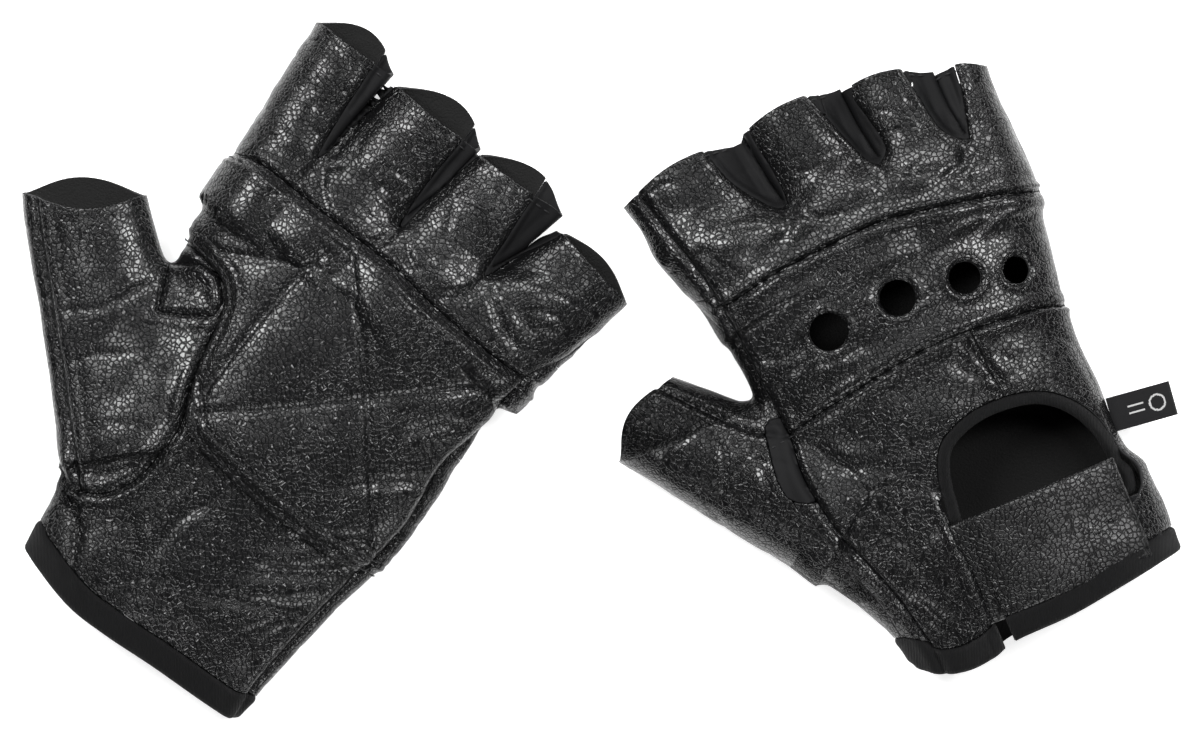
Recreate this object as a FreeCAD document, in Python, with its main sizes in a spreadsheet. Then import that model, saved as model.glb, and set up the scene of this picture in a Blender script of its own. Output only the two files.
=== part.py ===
import FreeCAD, Part
import Sketcher
import math
import os

# A pair of fingerless leather gloves lying side by side on a flat surface, in millimetres.
# The left glove lies palm up and the right glove lies back up.
#
# Each glove is drawn in a frame of its own and then turned and moved to its place:
#   X runs across the hand (the thumb is on the -X side of both gloves),
#   Y runs from the wrist to the fingertips,
#   Z runs up from the surface that the glove lies on.
# Every piece is cut from a form: a hand, four finger tubes and a thumb tube, each a loft through a
# few sections. Panels are stretches of the leather shell between the form and its lining, and the
# pieces sewn on top (padding, grip patch, tab, hook and loop tape) are layers just outside the form.

COMMON_SIZES = {
    "leather": 1.2,          # thickness of the leather
    "seam_gap": 0.15,        # half of the gap left along each seam
    "overrun": 3.0,          # how far cutters and linings run past an edge
    "wide": 160.0,           # half length of the cutters that cross a whole glove
    "pad_thickness": 1.5,
    "patch_thickness": 1.1,
    "layer_gap": 0.1,        # air between layers of one body
    "free_gap": 0.3,         # air between layers that part when the tab opens
    "loop_thickness": 0.8,
    "hook_thickness": 0.7,
    "strap_thickness": 1.4,
    "binding_inner": 1.8,    # how far the edge tape reaches inside the form
    "binding_outer": 0.6,    # how far the cuff tape stands out of the form
    "vent_tape_outer": 0.0,  # the vent tape is pressed flush with the leather
    "cuff_binding_width": 9.0,
    "vent_binding_width": 3.0,
    "fourchette_half": 5.5,  # half height of the side walls between the fingers
    "slit_half": 1.6,        # half width of the slit below the vent
    "label_thickness": 1.2,
    "label_slot": 0.3,       # gap between the two leaves of the folded label
    "loop_show": 4.0,        # how far the loop tape shows past the tab's free edge
    "loop_inset": 2.5,       # how far the loop tape stays back from the tab's wrist-side edge
    "side_band": 8.0,        # width of the insert between the thumb and the back
    "side_drop": 19.0,       # length of that insert
    "frame_x": -0.461,       # moves the pair so that the origin is under its middle
    "frame_y": 0.051,
}

# Hand sections, wrist to crotch: along Y, centre X, half width, half height and turn about Z.
HAND = ("cuff", "wrist", "palm", "knuckle", "crotch")
FINGERS = ("index", "middle", "ring", "little")

LEFT_SIZES = {
    "place_x": -81.0, "place_y": -6.45, "place_turn": -29.3,
    "mid_z": 13.45,          # the flat side is pressed 0.05 into the ground plane and cut there
    "palm_side": 1.0,        # the palm faces up
    "cuff_y": -93.5, "cuff_x": -16.0, "cuff_half": 40.5, "cuff_tall": 10.1, "cuff_turn": -9.4,
    "wrist_y": -48.0, "wrist_x": -10.5, "wrist_half": 46.5, "wrist_tall": 10.1, "wrist_turn": 0.0,
    "palm_y": -25.0, "palm_x": -8.0, "palm_half": 50.0, "palm_tall": 13.5, "palm_turn": 0.0,
    "knuckle_y": 25.0, "knuckle_x": -6.0, "knuckle_half": 55.0, "knuckle_tall": 13.5,
    "knuckle_turn": 0.0,
    "crotch_y": 57.0, "crotch_x": 0.5, "crotch_half": 61.0, "crotch_tall": 13.5,
    "crotch_turn": -5.0,
    "finger_start": 40.0, "finger_base_tall": 11.2, "finger_tip_tall": 10.5, "finger_tip_z": 12.0,
    "index_base_x": -46.0, "index_base_half": 13.0,
    "index_tip_x": -43.7, "index_tip_y": 96.0, "index_tip_half": 12.6, "index_tip_turn": -5.0,
    "middle_base_x": -21.0, "middle_base_half": 11.4,
    "middle_tip_x": -11.1, "middle_tip_y": 91.0, "middle_tip_half": 14.2, "middle_tip_turn": -6.0,
    "ring_base_x": 4.0, "ring_base_half": 12.4,
    "ring_tip_x": 18.5, "ring_tip_y": 85.0, "ring_tip_half": 12.8, "ring_tip_turn": -7.0,
    "little_base_x": 34.5, "little_base_half": 16.0,
    "little_tip_x": 51.0, "little_tip_y": 74.0, "little_tip_half": 13.2, "little_tip_turn": -16.0,
    "web_1_x": -32.0, "web_2_x": -3.5, "web_3_x": 26.5,
    "web_1_reach": 10.0, "web_2_reach": 11.5, "web_3_reach": 15.5,
    "thumb_base_x": -42.0, "thumb_base_y": -36.0, "thumb_base_half": 22.0, "thumb_base_tall": 9.6,
    "thumb_base_turn": 38.0,
    "thumb_tip_x": -93.0, "thumb_tip_y": 15.0, "thumb_tip_half": 18.8, "thumb_tip_tall": 10.5,
    "thumb_tip_turn": 24.0, "thumb_tip_z": 12.0,
    "thumb_bend_x": -70.0, "thumb_bend_y": -10.0, "thumb_bend_half": 19.5, "thumb_bend_tall": 11.0,
    "thumb_bend_turn": 38.0,
    "front_seam_x": -3.5, "front_seam_y": 38.3, "front_seam_turn": -8.5,
    "knuckle_seam_x": 0.0, "knuckle_seam_y": 41.0, "knuckle_seam_turn": -2.0,
    "back_seam_x": 0.0, "back_seam_y": 1.0, "back_seam_turn": 0.0,
    "thumb_seat_x": -52.0, "thumb_seat_y": -41.0, "thumb_seat_round": 20.5,
    "thumb_zone_half": 25.0, "thumb_zone_turn": 38.0,
    "thumb_panel_top": 17.0,
    "quirk_x": -50.0, "quirk_y": 6.0, "quirk_round": 9.5,
    "side_x": -48.0, "side_top": -3.0, "side_turn": 0.0, "thumb_back_low": -30.0,
    "web_depth": 3.0,
    "patch_left": -58.0, "patch_right": 43.0,
    "patch_seam_x": -33.0, "patch_seam_y": -27.0, "patch_seam_turn": -13.5,
    "vent_left": -21.0, "vent_right": 29.0, "vent_top": -15.0, "vent_low": -56.0,
    "vent_round": 15.0,
    "back_split_x": 7.0,
    "strap_left": -19.5, "strap_right": 29.0, "strap_low": -85.0, "strap_high": -50.0,
    "loop_left": 0.0,
    "hole_1_x": -29.0, "hole_1_y": 21.3, "hole_1_round": 5.6,
    "hole_2_x": -6.0, "hole_2_y": 23.0, "hole_2_round": 5.4,
    "hole_3_x": 16.0, "hole_3_y": 21.1, "hole_3_round": 4.9,
    "hole_4_x": 34.0, "hole_4_y": 17.0, "hole_4_round": 4.2,
}

RIGHT_SIZES = {
    "place_x": 90.0, "place_y": -3.45, "place_turn": 22.7,
    "mid_z": 19.95,
    "palm_side": -1.0,       # the palm faces down
    "cuff_y": -85.0, "cuff_x": 13.76, "cuff_half": 41.88, "cuff_tall": 14.0, "cuff_turn": 1.0,
    "wrist_y": -50.0, "wrist_x": 11.5, "wrist_half": 45.5, "wrist_tall": 15.5, "wrist_turn": 0.0,
    "palm_y": -15.0, "palm_x": 8.0, "palm_half": 46.8, "palm_tall": 17.2, "palm_turn": 0.0,
    "knuckle_y": 25.0, "knuckle_x": 7.5, "knuckle_half": 49.0, "knuckle_tall": 17.2,
    "knuckle_turn": 0.0,
    "crotch_y": 60.5, "crotch_x": 6.0, "crotch_half": 56.0, "crotch_tall": 17.2,
    "crotch_turn": 0.0,
    "finger_start": 44.0, "finger_base_tall": 12.0, "finger_tip_tall": 11.5, "finger_tip_z": 18.0,
    "index_base_x": -34.0, "index_base_half": 14.6,
    "index_tip_x": -39.3, "index_tip_y": 85.0, "index_tip_half": 14.8, "index_tip_turn": 2.0,
    "middle_base_x": -5.7, "middle_base_half": 12.3,
    "middle_tip_x": -5.2, "middle_tip_y": 87.5, "middle_tip_half": 13.0, "middle_tip_turn": 0.0,
    "ring_base_x": 20.5, "ring_base_half": 12.2,
    "ring_tip_x": 26.5, "ring_tip_y": 87.5, "ring_tip_half": 12.2, "ring_tip_turn": -4.0,
    "little_base_x": 47.0, "little_base_half": 12.4,
    "little_tip_x": 51.8, "little_tip_y": 79.5, "little_tip_half": 12.1, "little_tip_turn": -12.0,
    "web_1_x": -20.5, "web_2_x": 10.0, "web_3_x": 36.0,
    "web_1_reach": 10.5, "web_2_reach": 10.0, "web_3_reach": 10.0,
    "thumb_base_x": -28.0, "thumb_base_y": -34.0, "thumb_base_half": 17.5, "thumb_base_tall": 13.0,
    "thumb_base_turn": 40.0,
    "thumb_tip_x": -75.0, "thumb_tip_y": 18.5, "thumb_tip_half": 14.2, "thumb_tip_tall": 12.0,
    "thumb_tip_turn": 36.0, "thumb_tip_z": 15.0,
    "thumb_bend_x": -48.0, "thumb_bend_y": -11.0, "thumb_bend_half": 17.5, "thumb_bend_tall": 14.0,
    "thumb_bend_turn": 40.0,
    "front_seam_x": 0.0, "front_seam_y": 40.0, "front_seam_turn": -6.0,
    "knuckle_seam_x": 8.0, "knuckle_seam_y": 41.5, "knuckle_seam_turn": -1.0,
    "back_seam_x": 8.0, "back_seam_y": 1.0, "back_seam_turn": 2.0,
    "thumb_seat_x": -30.0, "thumb_seat_y": -40.0, "thumb_seat_round": 18.0,
    "thumb_zone_half": 22.0, "thumb_zone_turn": 40.0,
    "thumb_panel_top": 12.5,
    "quirk_x": -36.0, "quirk_y": 3.0, "quirk_round": 8.5,
    "side_x": -35.5, "side_top": -3.0, "side_turn": 9.0, "thumb_back_low": -30.0,
    "web_depth": 3.0,
    "patch_left": -38.0, "patch_right": 50.0,
    "patch_seam_x": -12.0, "patch_seam_y": -25.0, "patch_seam_turn": -12.0,
    "vent_left": -1.0, "vent_right": 49.0, "vent_top": -17.0, "vent_low": -55.0,
    "vent_round": 15.0,
    "back_split_x": 25.5,
    "strap_left": 0.5, "strap_right": 50.5, "strap_low": -77.0, "strap_high": -47.5,
    "loop_left": 12.0,
    "hole_1_x": -14.5, "hole_1_y": 21.3, "hole_1_round": 5.6,
    "hole_2_x": 8.7, "hole_2_y": 23.0, "hole_2_round": 5.3,
    "hole_3_x": 29.6, "hole_3_y": 21.1, "hole_3_round": 4.7,
    "hole_4_x": 44.8, "hole_4_y": 17.0, "hole_4_round": 4.0,
    "label_y": -34.0, "label_length": 17.5, "label_width": 10.0, "label_turn": -6.0,
}

doc = FreeCAD.newDocument("fingerless_gloves")
sheet = doc.addObject("Spreadsheet::Sheet", "sizes")


def write_sizes(values, prefix, first_row):
    """Write one group of driving sizes to the sheet and return the next free row."""
    row = first_row
    for name, value in values.items():
        sheet.set(f"A{row}", prefix + name)
        sheet.set(f"B{row}", str(value))
        sheet.setAlias(f"B{row}", prefix + name)
        row += 1
    return row


next_row = write_sizes(COMMON_SIZES, "", 1)
next_row = write_sizes(LEFT_SIZES, "left_", next_row)
write_sizes(RIGHT_SIZES, "right_", next_row)
doc.recompute()


def value(formula):
    """The number that a formula over the sheet gives now."""
    return float(sheet.evalExpression(formula))


def place(x_formula, y_formula, z_formula, turn="0", roll="0"):
    """A placement formula: moved to a point, turned about Z, and rolled about X first."""
    return (f"placement(vector({x_formula}; {y_formula}; {z_formula}); "
            f"rotation({turn}; 0; {roll}))")


class Glove:
    """One glove: its forms, its cutters and its pieces, all driven by its own sizes."""

    def __init__(self, side):
        self.side = side
        self.pieces = []

    def size(self, name):
        """The formula of one of this glove's own sizes."""
        return f"sizes.{self.side}_{name}"

    def add(self, kind, name):
        return doc.addObject(kind, f"{self.side}_{name}")

    # ---- sections and forms ------------------------------------------------------------------

    def slot_section(self, name, half_width, half_height, where):
        """A slot-shaped section: two flat sides joined by two half circles."""
        sketch = self.add("Sketcher::SketchObject", name)
        radius = value(half_height)
        reach = value(half_width) - radius
        point = FreeCAD.Vector
        up = point(0, 0, 1)
        quarter = math.pi / 2
        right_end = Part.Circle(point(reach, 0, 0), up, radius)
        left_end = Part.Circle(point(-reach, 0, 0), up, radius)
        sketch.addGeometry(Part.LineSegment(point(-reach, radius, 0), point(reach, radius, 0)))
        sketch.addGeometry(Part.ArcOfCircle(right_end, -quarter, quarter))
        sketch.addGeometry(Part.LineSegment(point(reach, -radius, 0), point(-reach, -radius, 0)))
        sketch.addGeometry(Part.ArcOfCircle(left_end, quarter, 3 * quarter))
        join = Sketcher.Constraint
        sketch.addConstraint(join("Tangent", 0, 2, 1, 2))
        sketch.addConstraint(join("Tangent", 1, 1, 2, 1))
        sketch.addConstraint(join("Tangent", 2, 2, 3, 2))
        sketch.addConstraint(join("Tangent", 3, 1, 0, 1))
        sketch.addConstraint(join("Symmetric", 3, 3, 1, 3, -1, 1))
        sketch.addConstraint(join("Horizontal", 0))
        sketch.addConstraint(join("Equal", 1, 3))
        radius_id = sketch.addConstraint(join("Radius", 1, radius))
        reach_id = sketch.addConstraint(join("DistanceX", -1, 1, 1, 3, reach))
        sketch.renameConstraint(radius_id, "radius")
        sketch.renameConstraint(reach_id, "reach")
        sketch.setExpression("Constraints.radius", half_height)
        sketch.setExpression("Constraints.reach", f"{half_width} - ({half_height})")
        sketch.setExpression("Placement", where)
        return sketch

    def oval_section(self, name, half_width, half_height, where):
        """An ellipse section, wider than it is tall."""
        oval = self.add("Part::Ellipse", name)
        oval.MajorRadius = value(half_width)
        oval.MinorRadius = value(half_height)
        oval.setExpression("MajorRadius", half_width)
        oval.setExpression("MinorRadius", half_height)
        oval.setExpression("Placement", where)
        return oval

    def loft(self, name, sections):
        body = self.add("Part::Loft", name)
        body.Sections = sections
        body.Solid = True
        body.Ruled = True
        return body

    def hand_form(self, name, grow, cuff_shift="0", crotch_shift="0"):
        """The hand, from the cuff to the crotches, with every side moved out by grow."""
        sections = []
        for station in HAND:
            shift = {"cuff": cuff_shift, "crotch": crotch_shift}.get(station, "0")
            where = place(self.size(f"{station}_x"), f"{self.size(f'{station}_y')} + {shift}",
                          self.size("mid_z"), self.size(f"{station}_turn"), "90")
            sections.append(self.slot_section(f"{name}_{station}",
                                              f"{self.size(f'{station}_half')} + {grow}",
                                              f"{self.size(f'{station}_tall')} + {grow}", where))
        return self.loft(name, sections)

    def finger_form(self, name, finger, grow, tip_shift="0"):
        """One finger tube, from inside the hand to its open tip."""
        base_at = place(self.size(f"{finger}_base_x"), self.size("finger_start"),
                        self.size("mid_z"), "0", "90")
        tip_at = place(self.size(f"{finger}_tip_x"),
                       f"{self.size(f'{finger}_tip_y')} + {tip_shift}",
                       self.size("finger_tip_z"), self.size(f"{finger}_tip_turn"), "90")
        base = self.oval_section(f"{name}_{finger}_base",
                                 f"{self.size(f'{finger}_base_half')} + {grow}",
                                 f"{self.size('finger_base_tall')} + {grow}", base_at)
        tip = self.oval_section(f"{name}_{finger}_tip",
                                f"{self.size(f'{finger}_tip_half')} + {grow}",
                                f"{self.size('finger_tip_tall')} + {grow}", tip_at)
        return self.loft(f"{name}_{finger}", [base, tip])

    def thumb_form(self, name, grow, tip_shift="0"):
        """The thumb tube, from inside the palm to its open tip."""
        sections = []
        for station, height in (("base", "mid_z"), ("bend", "mid_z"), ("tip", "thumb_tip_z")):
            turn = self.size(f"thumb_{station}_turn")
            shift = tip_shift if station == "tip" else "0"
            where = place(f"{self.size(f'thumb_{station}_x')} - sin({turn}) * {shift}",
                          f"{self.size(f'thumb_{station}_y')} + cos({turn}) * {shift}",
                          self.size(height), turn, "90")
            sections.append(self.oval_section(f"{name}_thumb_{station}",
                                              f"{self.size(f'thumb_{station}_half')} + {grow}",
                                              f"{self.size(f'thumb_{station}_tall')} + {grow}",
                                              where))
        return self.loft(f"{name}_thumb", sections)

    def whole_form(self, name, grow, run_out):
        """Hand, fingers and thumb as one solid. run_out carries it past the open ends."""
        tubes = [self.finger_form(name, finger, grow, run_out) for finger in FINGERS]
        tubes.append(self.thumb_form(name, grow, run_out))
        crotch_shift = grow if run_out != "0" else "0"
        hand = self.hand_form(f"{name}_hand", grow, f"-1 * {run_out}", crotch_shift)
        return self.fuse(name, [hand] + tubes)

    # ---- booleans ----------------------------------------------------------------------------

    def fuse(self, name, solids):
        joined = self.add("Part::MultiFuse", name)
        joined.Shapes = solids
        joined.Refine = False
        return joined

    def common(self, name, solids):
        shared = self.add("Part::MultiCommon", name)
        shared.Shapes = solids
        shared.Refine = False
        return shared

    def cut(self, name, base, tool):
        rest = self.add("Part::Cut", name)
        rest.Base = base
        rest.Tool = tool
        rest.Refine = False
        return rest

    # ---- cutters -----------------------------------------------------------------------------

    def box(self, name, low, high, around=("0", "0"), turn="0"):
        """A box between two corners, given about a point of the plan and turned about it."""
        block = self.add("Part::Box", name)
        for side, near, far in zip(("Length", "Width", "Height"), low, high):
            block.setExpression(side, f"({far}) - ({near})")
        pivot = place(around[0], around[1], "0", turn)
        corner = place(low[0], low[1], low[2])
        block.setExpression("Placement", f"{pivot} * {corner}")
        return block

    def post(self, name, x_formula, y_formula, radius):
        """An upright cylinder through the whole thickness of the glove."""
        cylinder = self.add("Part::Cylinder", name)
        cylinder.setExpression("Radius", radius)
        cylinder.setExpression("Height", "2 * sizes.wide")
        cylinder.setExpression("Placement", place(x_formula, y_formula, "-1 * sizes.wide"))
        return cylinder

    def half(self, name, towards_palm, inset="sizes.seam_gap"):
        """The half of space on the palm side or on the back side of the glove's middle plane."""
        facing = self.size("palm_side") if towards_palm else f"(-1 * {self.size('palm_side')})"
        wide = "sizes.wide"
        middle = self.size("mid_z")
        low_z = f"{middle} + {inset} * {facing} + (1 - {facing}) / 2 * (-1 * {wide})"
        high_z = f"{middle} + {inset} * {facing} + (1 + {facing}) / 2 * {wide}"
        return self.box(name, (f"-1 * {wide}", f"-1 * {wide}", low_z), (wide, wide, high_z))

    def beyond(self, name, seam, margin="0"):
        """What lies on the fingertip side of a straight seam line that crosses the glove."""
        wide = "sizes.wide"
        return self.box(name, (f"-1 * {wide}", f"-1 * ({margin})", f"-1 * {wide}"),
                        (wide, f"2 * {wide}", wide),
                        (self.size(f"{seam}_x"), self.size(f"{seam}_y")),
                        self.size(f"{seam}_turn"))

    def short_of(self, name, seam, margin="0", offset="0"):
        """What lies on the wrist side of a straight seam line that crosses the glove."""
        wide = "sizes.wide"
        return self.box(name, (f"-1 * {wide}", f"-2 * {wide}", f"-1 * {wide}"),
                        (wide, f"{offset} + {margin}", wide),
                        (self.size(f"{seam}_x"), self.size(f"{seam}_y")),
                        self.size(f"{seam}_turn"))

    def column(self, name, low, high):
        """A rectangle of the plan through the whole thickness."""
        wide = "sizes.wide"
        return self.box(name, (low[0], low[1], f"-1 * {wide}"), (high[0], high[1], wide))

    def thumb_zone(self, name, margin):
        """The plan of the thumb's palm side: a round seat, the tube, and the top of the panel."""
        seat_x = self.size("thumb_seat_x")
        seat_y = self.size("thumb_seat_y")
        half = f"{self.size('thumb_zone_half')} + {margin}"
        wide = "sizes.wide"
        round_end = f"{self.size('thumb_seat_round')} + {margin}"
        seat = self.post(f"{name}_seat", seat_x, seat_y, round_end)
        tube = self.box(f"{name}_tube", (f"-1 * ({half})", "0", f"-1 * {wide}"),
                        (half, wide, wide), (seat_x, seat_y), self.size("thumb_zone_turn"))
        top = self.column(f"{name}_top", (f"{seat_x} - {self.size('thumb_zone_half')}", seat_y),
                          (f"{seat_x} + {round_end}",
                           f"{self.size('thumb_panel_top')} + {margin}"))
        return self.fuse(name, [seat, tube, top])

    def side_zone(self, name, low_y, high_y, margin):
        """The thumb side of the back, below the thumb, between two distances along the seam."""
        wide = "sizes.wide"
        return self.box(name, (f"-1 * {wide}", low_y, f"-1 * {wide}"), (margin, high_y, wide),
                        (self.size("side_x"), self.size("side_top")), self.size("side_turn"))

    def thumb_back_zone(self, name, margin):
        """The plan of the thumb's back side: the tube, as far as the side of the hand."""
        half = f"{self.size('thumb_zone_half')} + {margin}"
        wide = "sizes.wide"
        tube = self.box(f"{name}_tube", (f"-1 * ({half})", f"-1 * {wide}", f"-1 * {wide}"),
                        (half, wide, wide),
                        (self.size("thumb_seat_x"), self.size("thumb_seat_y")),
                        self.size("thumb_zone_turn"))
        edge = f"{self.size('side_x')} - sizes.side_band + {margin}"
        outside = self.column(f"{name}_outside",
                              (f"-2 * {wide}", f"{self.size('thumb_back_low')} - ({margin})"),
                              (edge, wide))
        return self.common(name, [tube, outside])

    def vent_zone(self, name, margin):
        """The plan of the vent: square at the wrist end, with two round corners above."""
        low_x = f"{self.size('vent_left')} - ({margin})"
        high_x = f"{self.size('vent_right')} + {margin}"
        low_y = f"{self.size('vent_low')} - ({margin})"
        corner_y = f"{self.size('vent_top')} - {self.size('vent_round')}"
        left_x = f"{self.size('vent_left')} + {self.size('vent_round')}"
        right_x = f"{self.size('vent_right')} - {self.size('vent_round')}"
        radius = f"{self.size('vent_round')} + {margin}"
        parts = [self.column(f"{name}_low", (low_x, low_y), (high_x, corner_y)),
                 self.column(f"{name}_top", (left_x, low_y),
                             (right_x, f"{self.size('vent_top')} + {margin}")),
                 self.post(f"{name}_left", left_x, corner_y, radius),
                 self.post(f"{name}_right", right_x, corner_y, radius)]
        return self.fuse(name, parts)

    def slit_zone(self, name, margin):
        """The plan of the slit from the vent down to the cuff."""
        left = self.size("vent_left")
        return self.column(name, (f"{left} - ({margin})", "-1 * sizes.wide"),
                           (f"{left} + 2 * sizes.slit_half + {margin}",
                            f"{self.size('vent_low')} + 1"))

    def web_zone(self, name, number, margin):
        """The side walls of two neighbouring fingers and the web between them."""
        centre = self.size(f"web_{number}_x")
        reach = f"{self.size(f'web_{number}_reach')} + {margin}"
        tall = f"sizes.fourchette_half + {margin}"
        middle = self.size("mid_z")
        start = f"{self.size('crotch_y')} - {self.size('web_depth')} - ({margin})"
        return self.box(name, (f"{centre} - ({reach})", start, f"{middle} - ({tall})"),
                        (f"{centre} + {reach}", "sizes.wide", f"{middle} + {tall}"))

    # ---- pieces ------------------------------------------------------------------------------

    def piece(self, node, shape):
        """Name a finished piece and put it where the glove lies."""
        shape.Label = f"{self.side}_{node}"
        where = place(f"{self.size('place_x')} + sizes.frame_x",
                      f"{self.size('place_y')} + sizes.frame_y", "0", self.size("place_turn"))
        shape.setExpression("Placement", where)
        self.pieces.append(shape)

    def panel(self, node, keep, remove=()):
        """A panel: the stretch of the leather shell inside every zone of keep, less remove."""
        rest = self.common(f"{node}_stretch", [self.shell] + list(keep))
        if remove:
            away = self.fuse(f"{node}_away", list(remove)) if len(remove) > 1 else remove[0]
            rest = self.cut(f"{node}_panel", rest, away)
        self.piece(node, rest)

    def layer(self, node, low, high, keep, remove=()):
        """A piece that lies on the hand: all between two grown forms, inside keep, less remove."""
        inner = self.grown_hand(low)
        outer = self.grown_hand(high)
        sheet_of_form = self.cut(f"{node}_sheet", outer, inner)
        rest = self.common(f"{node}_stretch", [sheet_of_form] + list(keep))
        if remove:
            away = self.fuse(f"{node}_away", list(remove)) if len(remove) > 1 else remove[0]
            rest = self.cut(f"{node}_layer", rest, away)
        self.piece(node, rest)

    def grown_hand(self, grow):
        """The hand form moved out by grow; a form that several layers share is made once."""
        if grow not in self.grown:
            self.grown[grow] = self.hand_form(f"layer_{len(self.grown)}", grow)
        return self.grown[grow]

    def build(self):
        """Make every piece of this glove."""
        self.grown = {}
        gap = "sizes.seam_gap"
        inward = "-1 * sizes.seam_gap"
        wide = "sizes.wide"
        ground = self.box("ground", (f"-2 * {wide}", f"-2 * {wide}", f"-1 * {wide}"),
                          (f"2 * {wide}", f"2 * {wide}", "0"))
        outer = self.cut("outer_on_ground", self.whole_form("outer", "0", "0"), ground)
        lining = self.whole_form("lining", "-1 * sizes.leather", "sizes.overrun")
        self.shell = self.cut("shell", outer, lining)

        palm_side = self.half("palm_side_half", True)
        back_side = self.half("back_side_half", False)
        cuff_cut = self.short_of("cuff_cut", "cuff", gap, "sizes.cuff_binding_width")
        webs = [self.web_zone(f"web_{number}_cut", number, gap) for number in (1, 2, 3)]
        thumb_cut = self.thumb_zone("thumb_cut", gap)
        thumb_back_cut = self.thumb_back_zone("thumb_back_cut", gap)
        vent_cut = self.vent_zone("vent_cut", f"sizes.vent_binding_width + {gap}")
        slit_cut = self.slit_zone("slit_cut", gap)
        side_cut = self.side_zone("side_cut", f"-1 * {wide}", gap, gap)

        # Palm side.
        self.panel("finger_front",
                   [palm_side, self.beyond("front_above", "front_seam", inward)], webs)
        self.panel("palm_panel", [palm_side, self.short_of("front_below", "front_seam", inward)],
                   [thumb_cut, cuff_cut])
        quirk_x = self.size("quirk_x")
        quirk_y = self.size("quirk_y")
        quirk_round = self.size("quirk_round")
        self.panel("thumb_front", [palm_side, self.thumb_zone("thumb_keep", inward)],
                   [self.post("quirk_cut", quirk_x, quirk_y, f"{quirk_round} + {gap}")])
        self.panel("thumb_gusset", [palm_side, self.post("quirk_keep", quirk_x, quirk_y,
                                                         f"{quirk_round} - {gap}")])

        # Back side.
        self.panel("finger_back",
                   [back_side, self.beyond("knuckle_above", "knuckle_seam", inward)], webs)
        holes = [self.post(f"hole_{number}", self.size(f"hole_{number}_x"),
                           self.size(f"hole_{number}_y"), self.size(f"hole_{number}_round"))
                 for number in (1, 2, 3, 4)]
        self.panel("knuckle_band",
                   [back_side, self.beyond("back_above", "back_seam", inward),
                    self.short_of("knuckle_below", "knuckle_seam", inward)],
                   holes + [thumb_back_cut])
        split = self.size("back_split_x")
        slit_x = f"{self.size('vent_left')} + sizes.slit_half"
        middle_y = f"{self.size('vent_top')} - {self.size('vent_round')}"
        back_below = self.short_of("back_below", "back_seam", inward)
        little_side = [self.column(f"little_{name}", (f"{edge} - {margin}", low),
                                   (wide, high))
                       for name, edge, low, high, margin in
                       (("upper_cut", split, middle_y, wide, gap),
                        ("lower_cut", slit_x, f"-1 * {wide}", middle_y, gap))]
        little_keep = self.fuse("little_keep", [
            self.column("little_upper_keep", (f"{split} + {gap}", middle_y), (wide, wide)),
            self.column("little_lower_keep", (f"{slit_x} + {gap}", f"-1 * {wide}"),
                        (wide, middle_y))])
        self.panel("back_thumb_panel", [back_side, back_below],
                   [cuff_cut, vent_cut, slit_cut, side_cut, thumb_back_cut] + little_side)
        self.panel("back_little_panel", [back_side, back_below, little_keep],
                   [cuff_cut, vent_cut, slit_cut])
        self.panel("thumb_back", [back_side, self.thumb_back_zone("thumb_back_keep", inward)])
        self.panel("side_gusset",
                   [back_side, self.side_zone("gusset_keep", f"{gap} - sizes.side_drop",
                                              inward, inward)],
                   [thumb_back_cut])
        self.panel("side_strip",
                   [back_side, self.side_zone("strip_keep", f"-1 * {wide}",
                                              f"{inward} - sizes.side_drop", inward)],
                   [thumb_back_cut, cuff_cut])

        # Side walls between the fingers.
        for number in (1, 2, 3):
            self.panel(f"fourchette_{number}",
                       [self.web_zone(f"web_{number}_keep", number, "0")])

        # Edge tapes.
        ring = self.cut("vent_ring", self.vent_zone("vent_outside", "sizes.vent_binding_width"),
                        self.fuse("vent_inside", [self.vent_zone("vent_hole", "0"), slit_cut]))
        tape_low = "-1 * sizes.binding_inner"
        tape_high = "sizes.binding_outer"
        self.layer("vent_binding", tape_low, "sizes.vent_tape_outer", [ring, back_side], [ground])
        cuff_lining = self.hand_form("cuff_lining", tape_low, "-1 * sizes.overrun")
        cuff_tape = self.cut("cuff_tape", self.grown_hand(tape_high), cuff_lining)
        cuff_keep = self.short_of("cuff_keep", "cuff", "0", "sizes.cuff_binding_width")
        cuff_band = self.common("cuff_band", [cuff_tape, cuff_keep])
        back_slit = self.common("back_slit", [slit_cut, back_side])
        self.piece("cuff_binding", self.cut("cuff_binding_open", cuff_band, back_slit))

        # Grip patch and its padding, on the palm.
        pad_low = "sizes.layer_gap"
        pad_high = f"{pad_low} + sizes.pad_thickness"
        patch_low = f"{pad_high} + sizes.layer_gap"
        patch_high = f"{patch_low} + sizes.patch_thickness"
        for node, low, high, inset in (("palm_pad", pad_low, pad_high, "2"),
                                       ("palm_patch", patch_low, patch_high, gap)):
            inside = f"-1 * ({inset})"
            keep = [palm_side, self.beyond(f"{node}_above", "patch_seam", inside),
                    self.short_of(f"{node}_below", "front_seam", inside),
                    self.column(f"{node}_across", (f"{self.size('patch_left')} + {inset}",
                                                   f"-1 * {wide}"),
                                (f"{self.size('patch_right')} - ({inset})", wide))]
            self.layer(node, low, high, keep, [self.thumb_zone(f"{node}_thumb", inset), ground])

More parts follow.
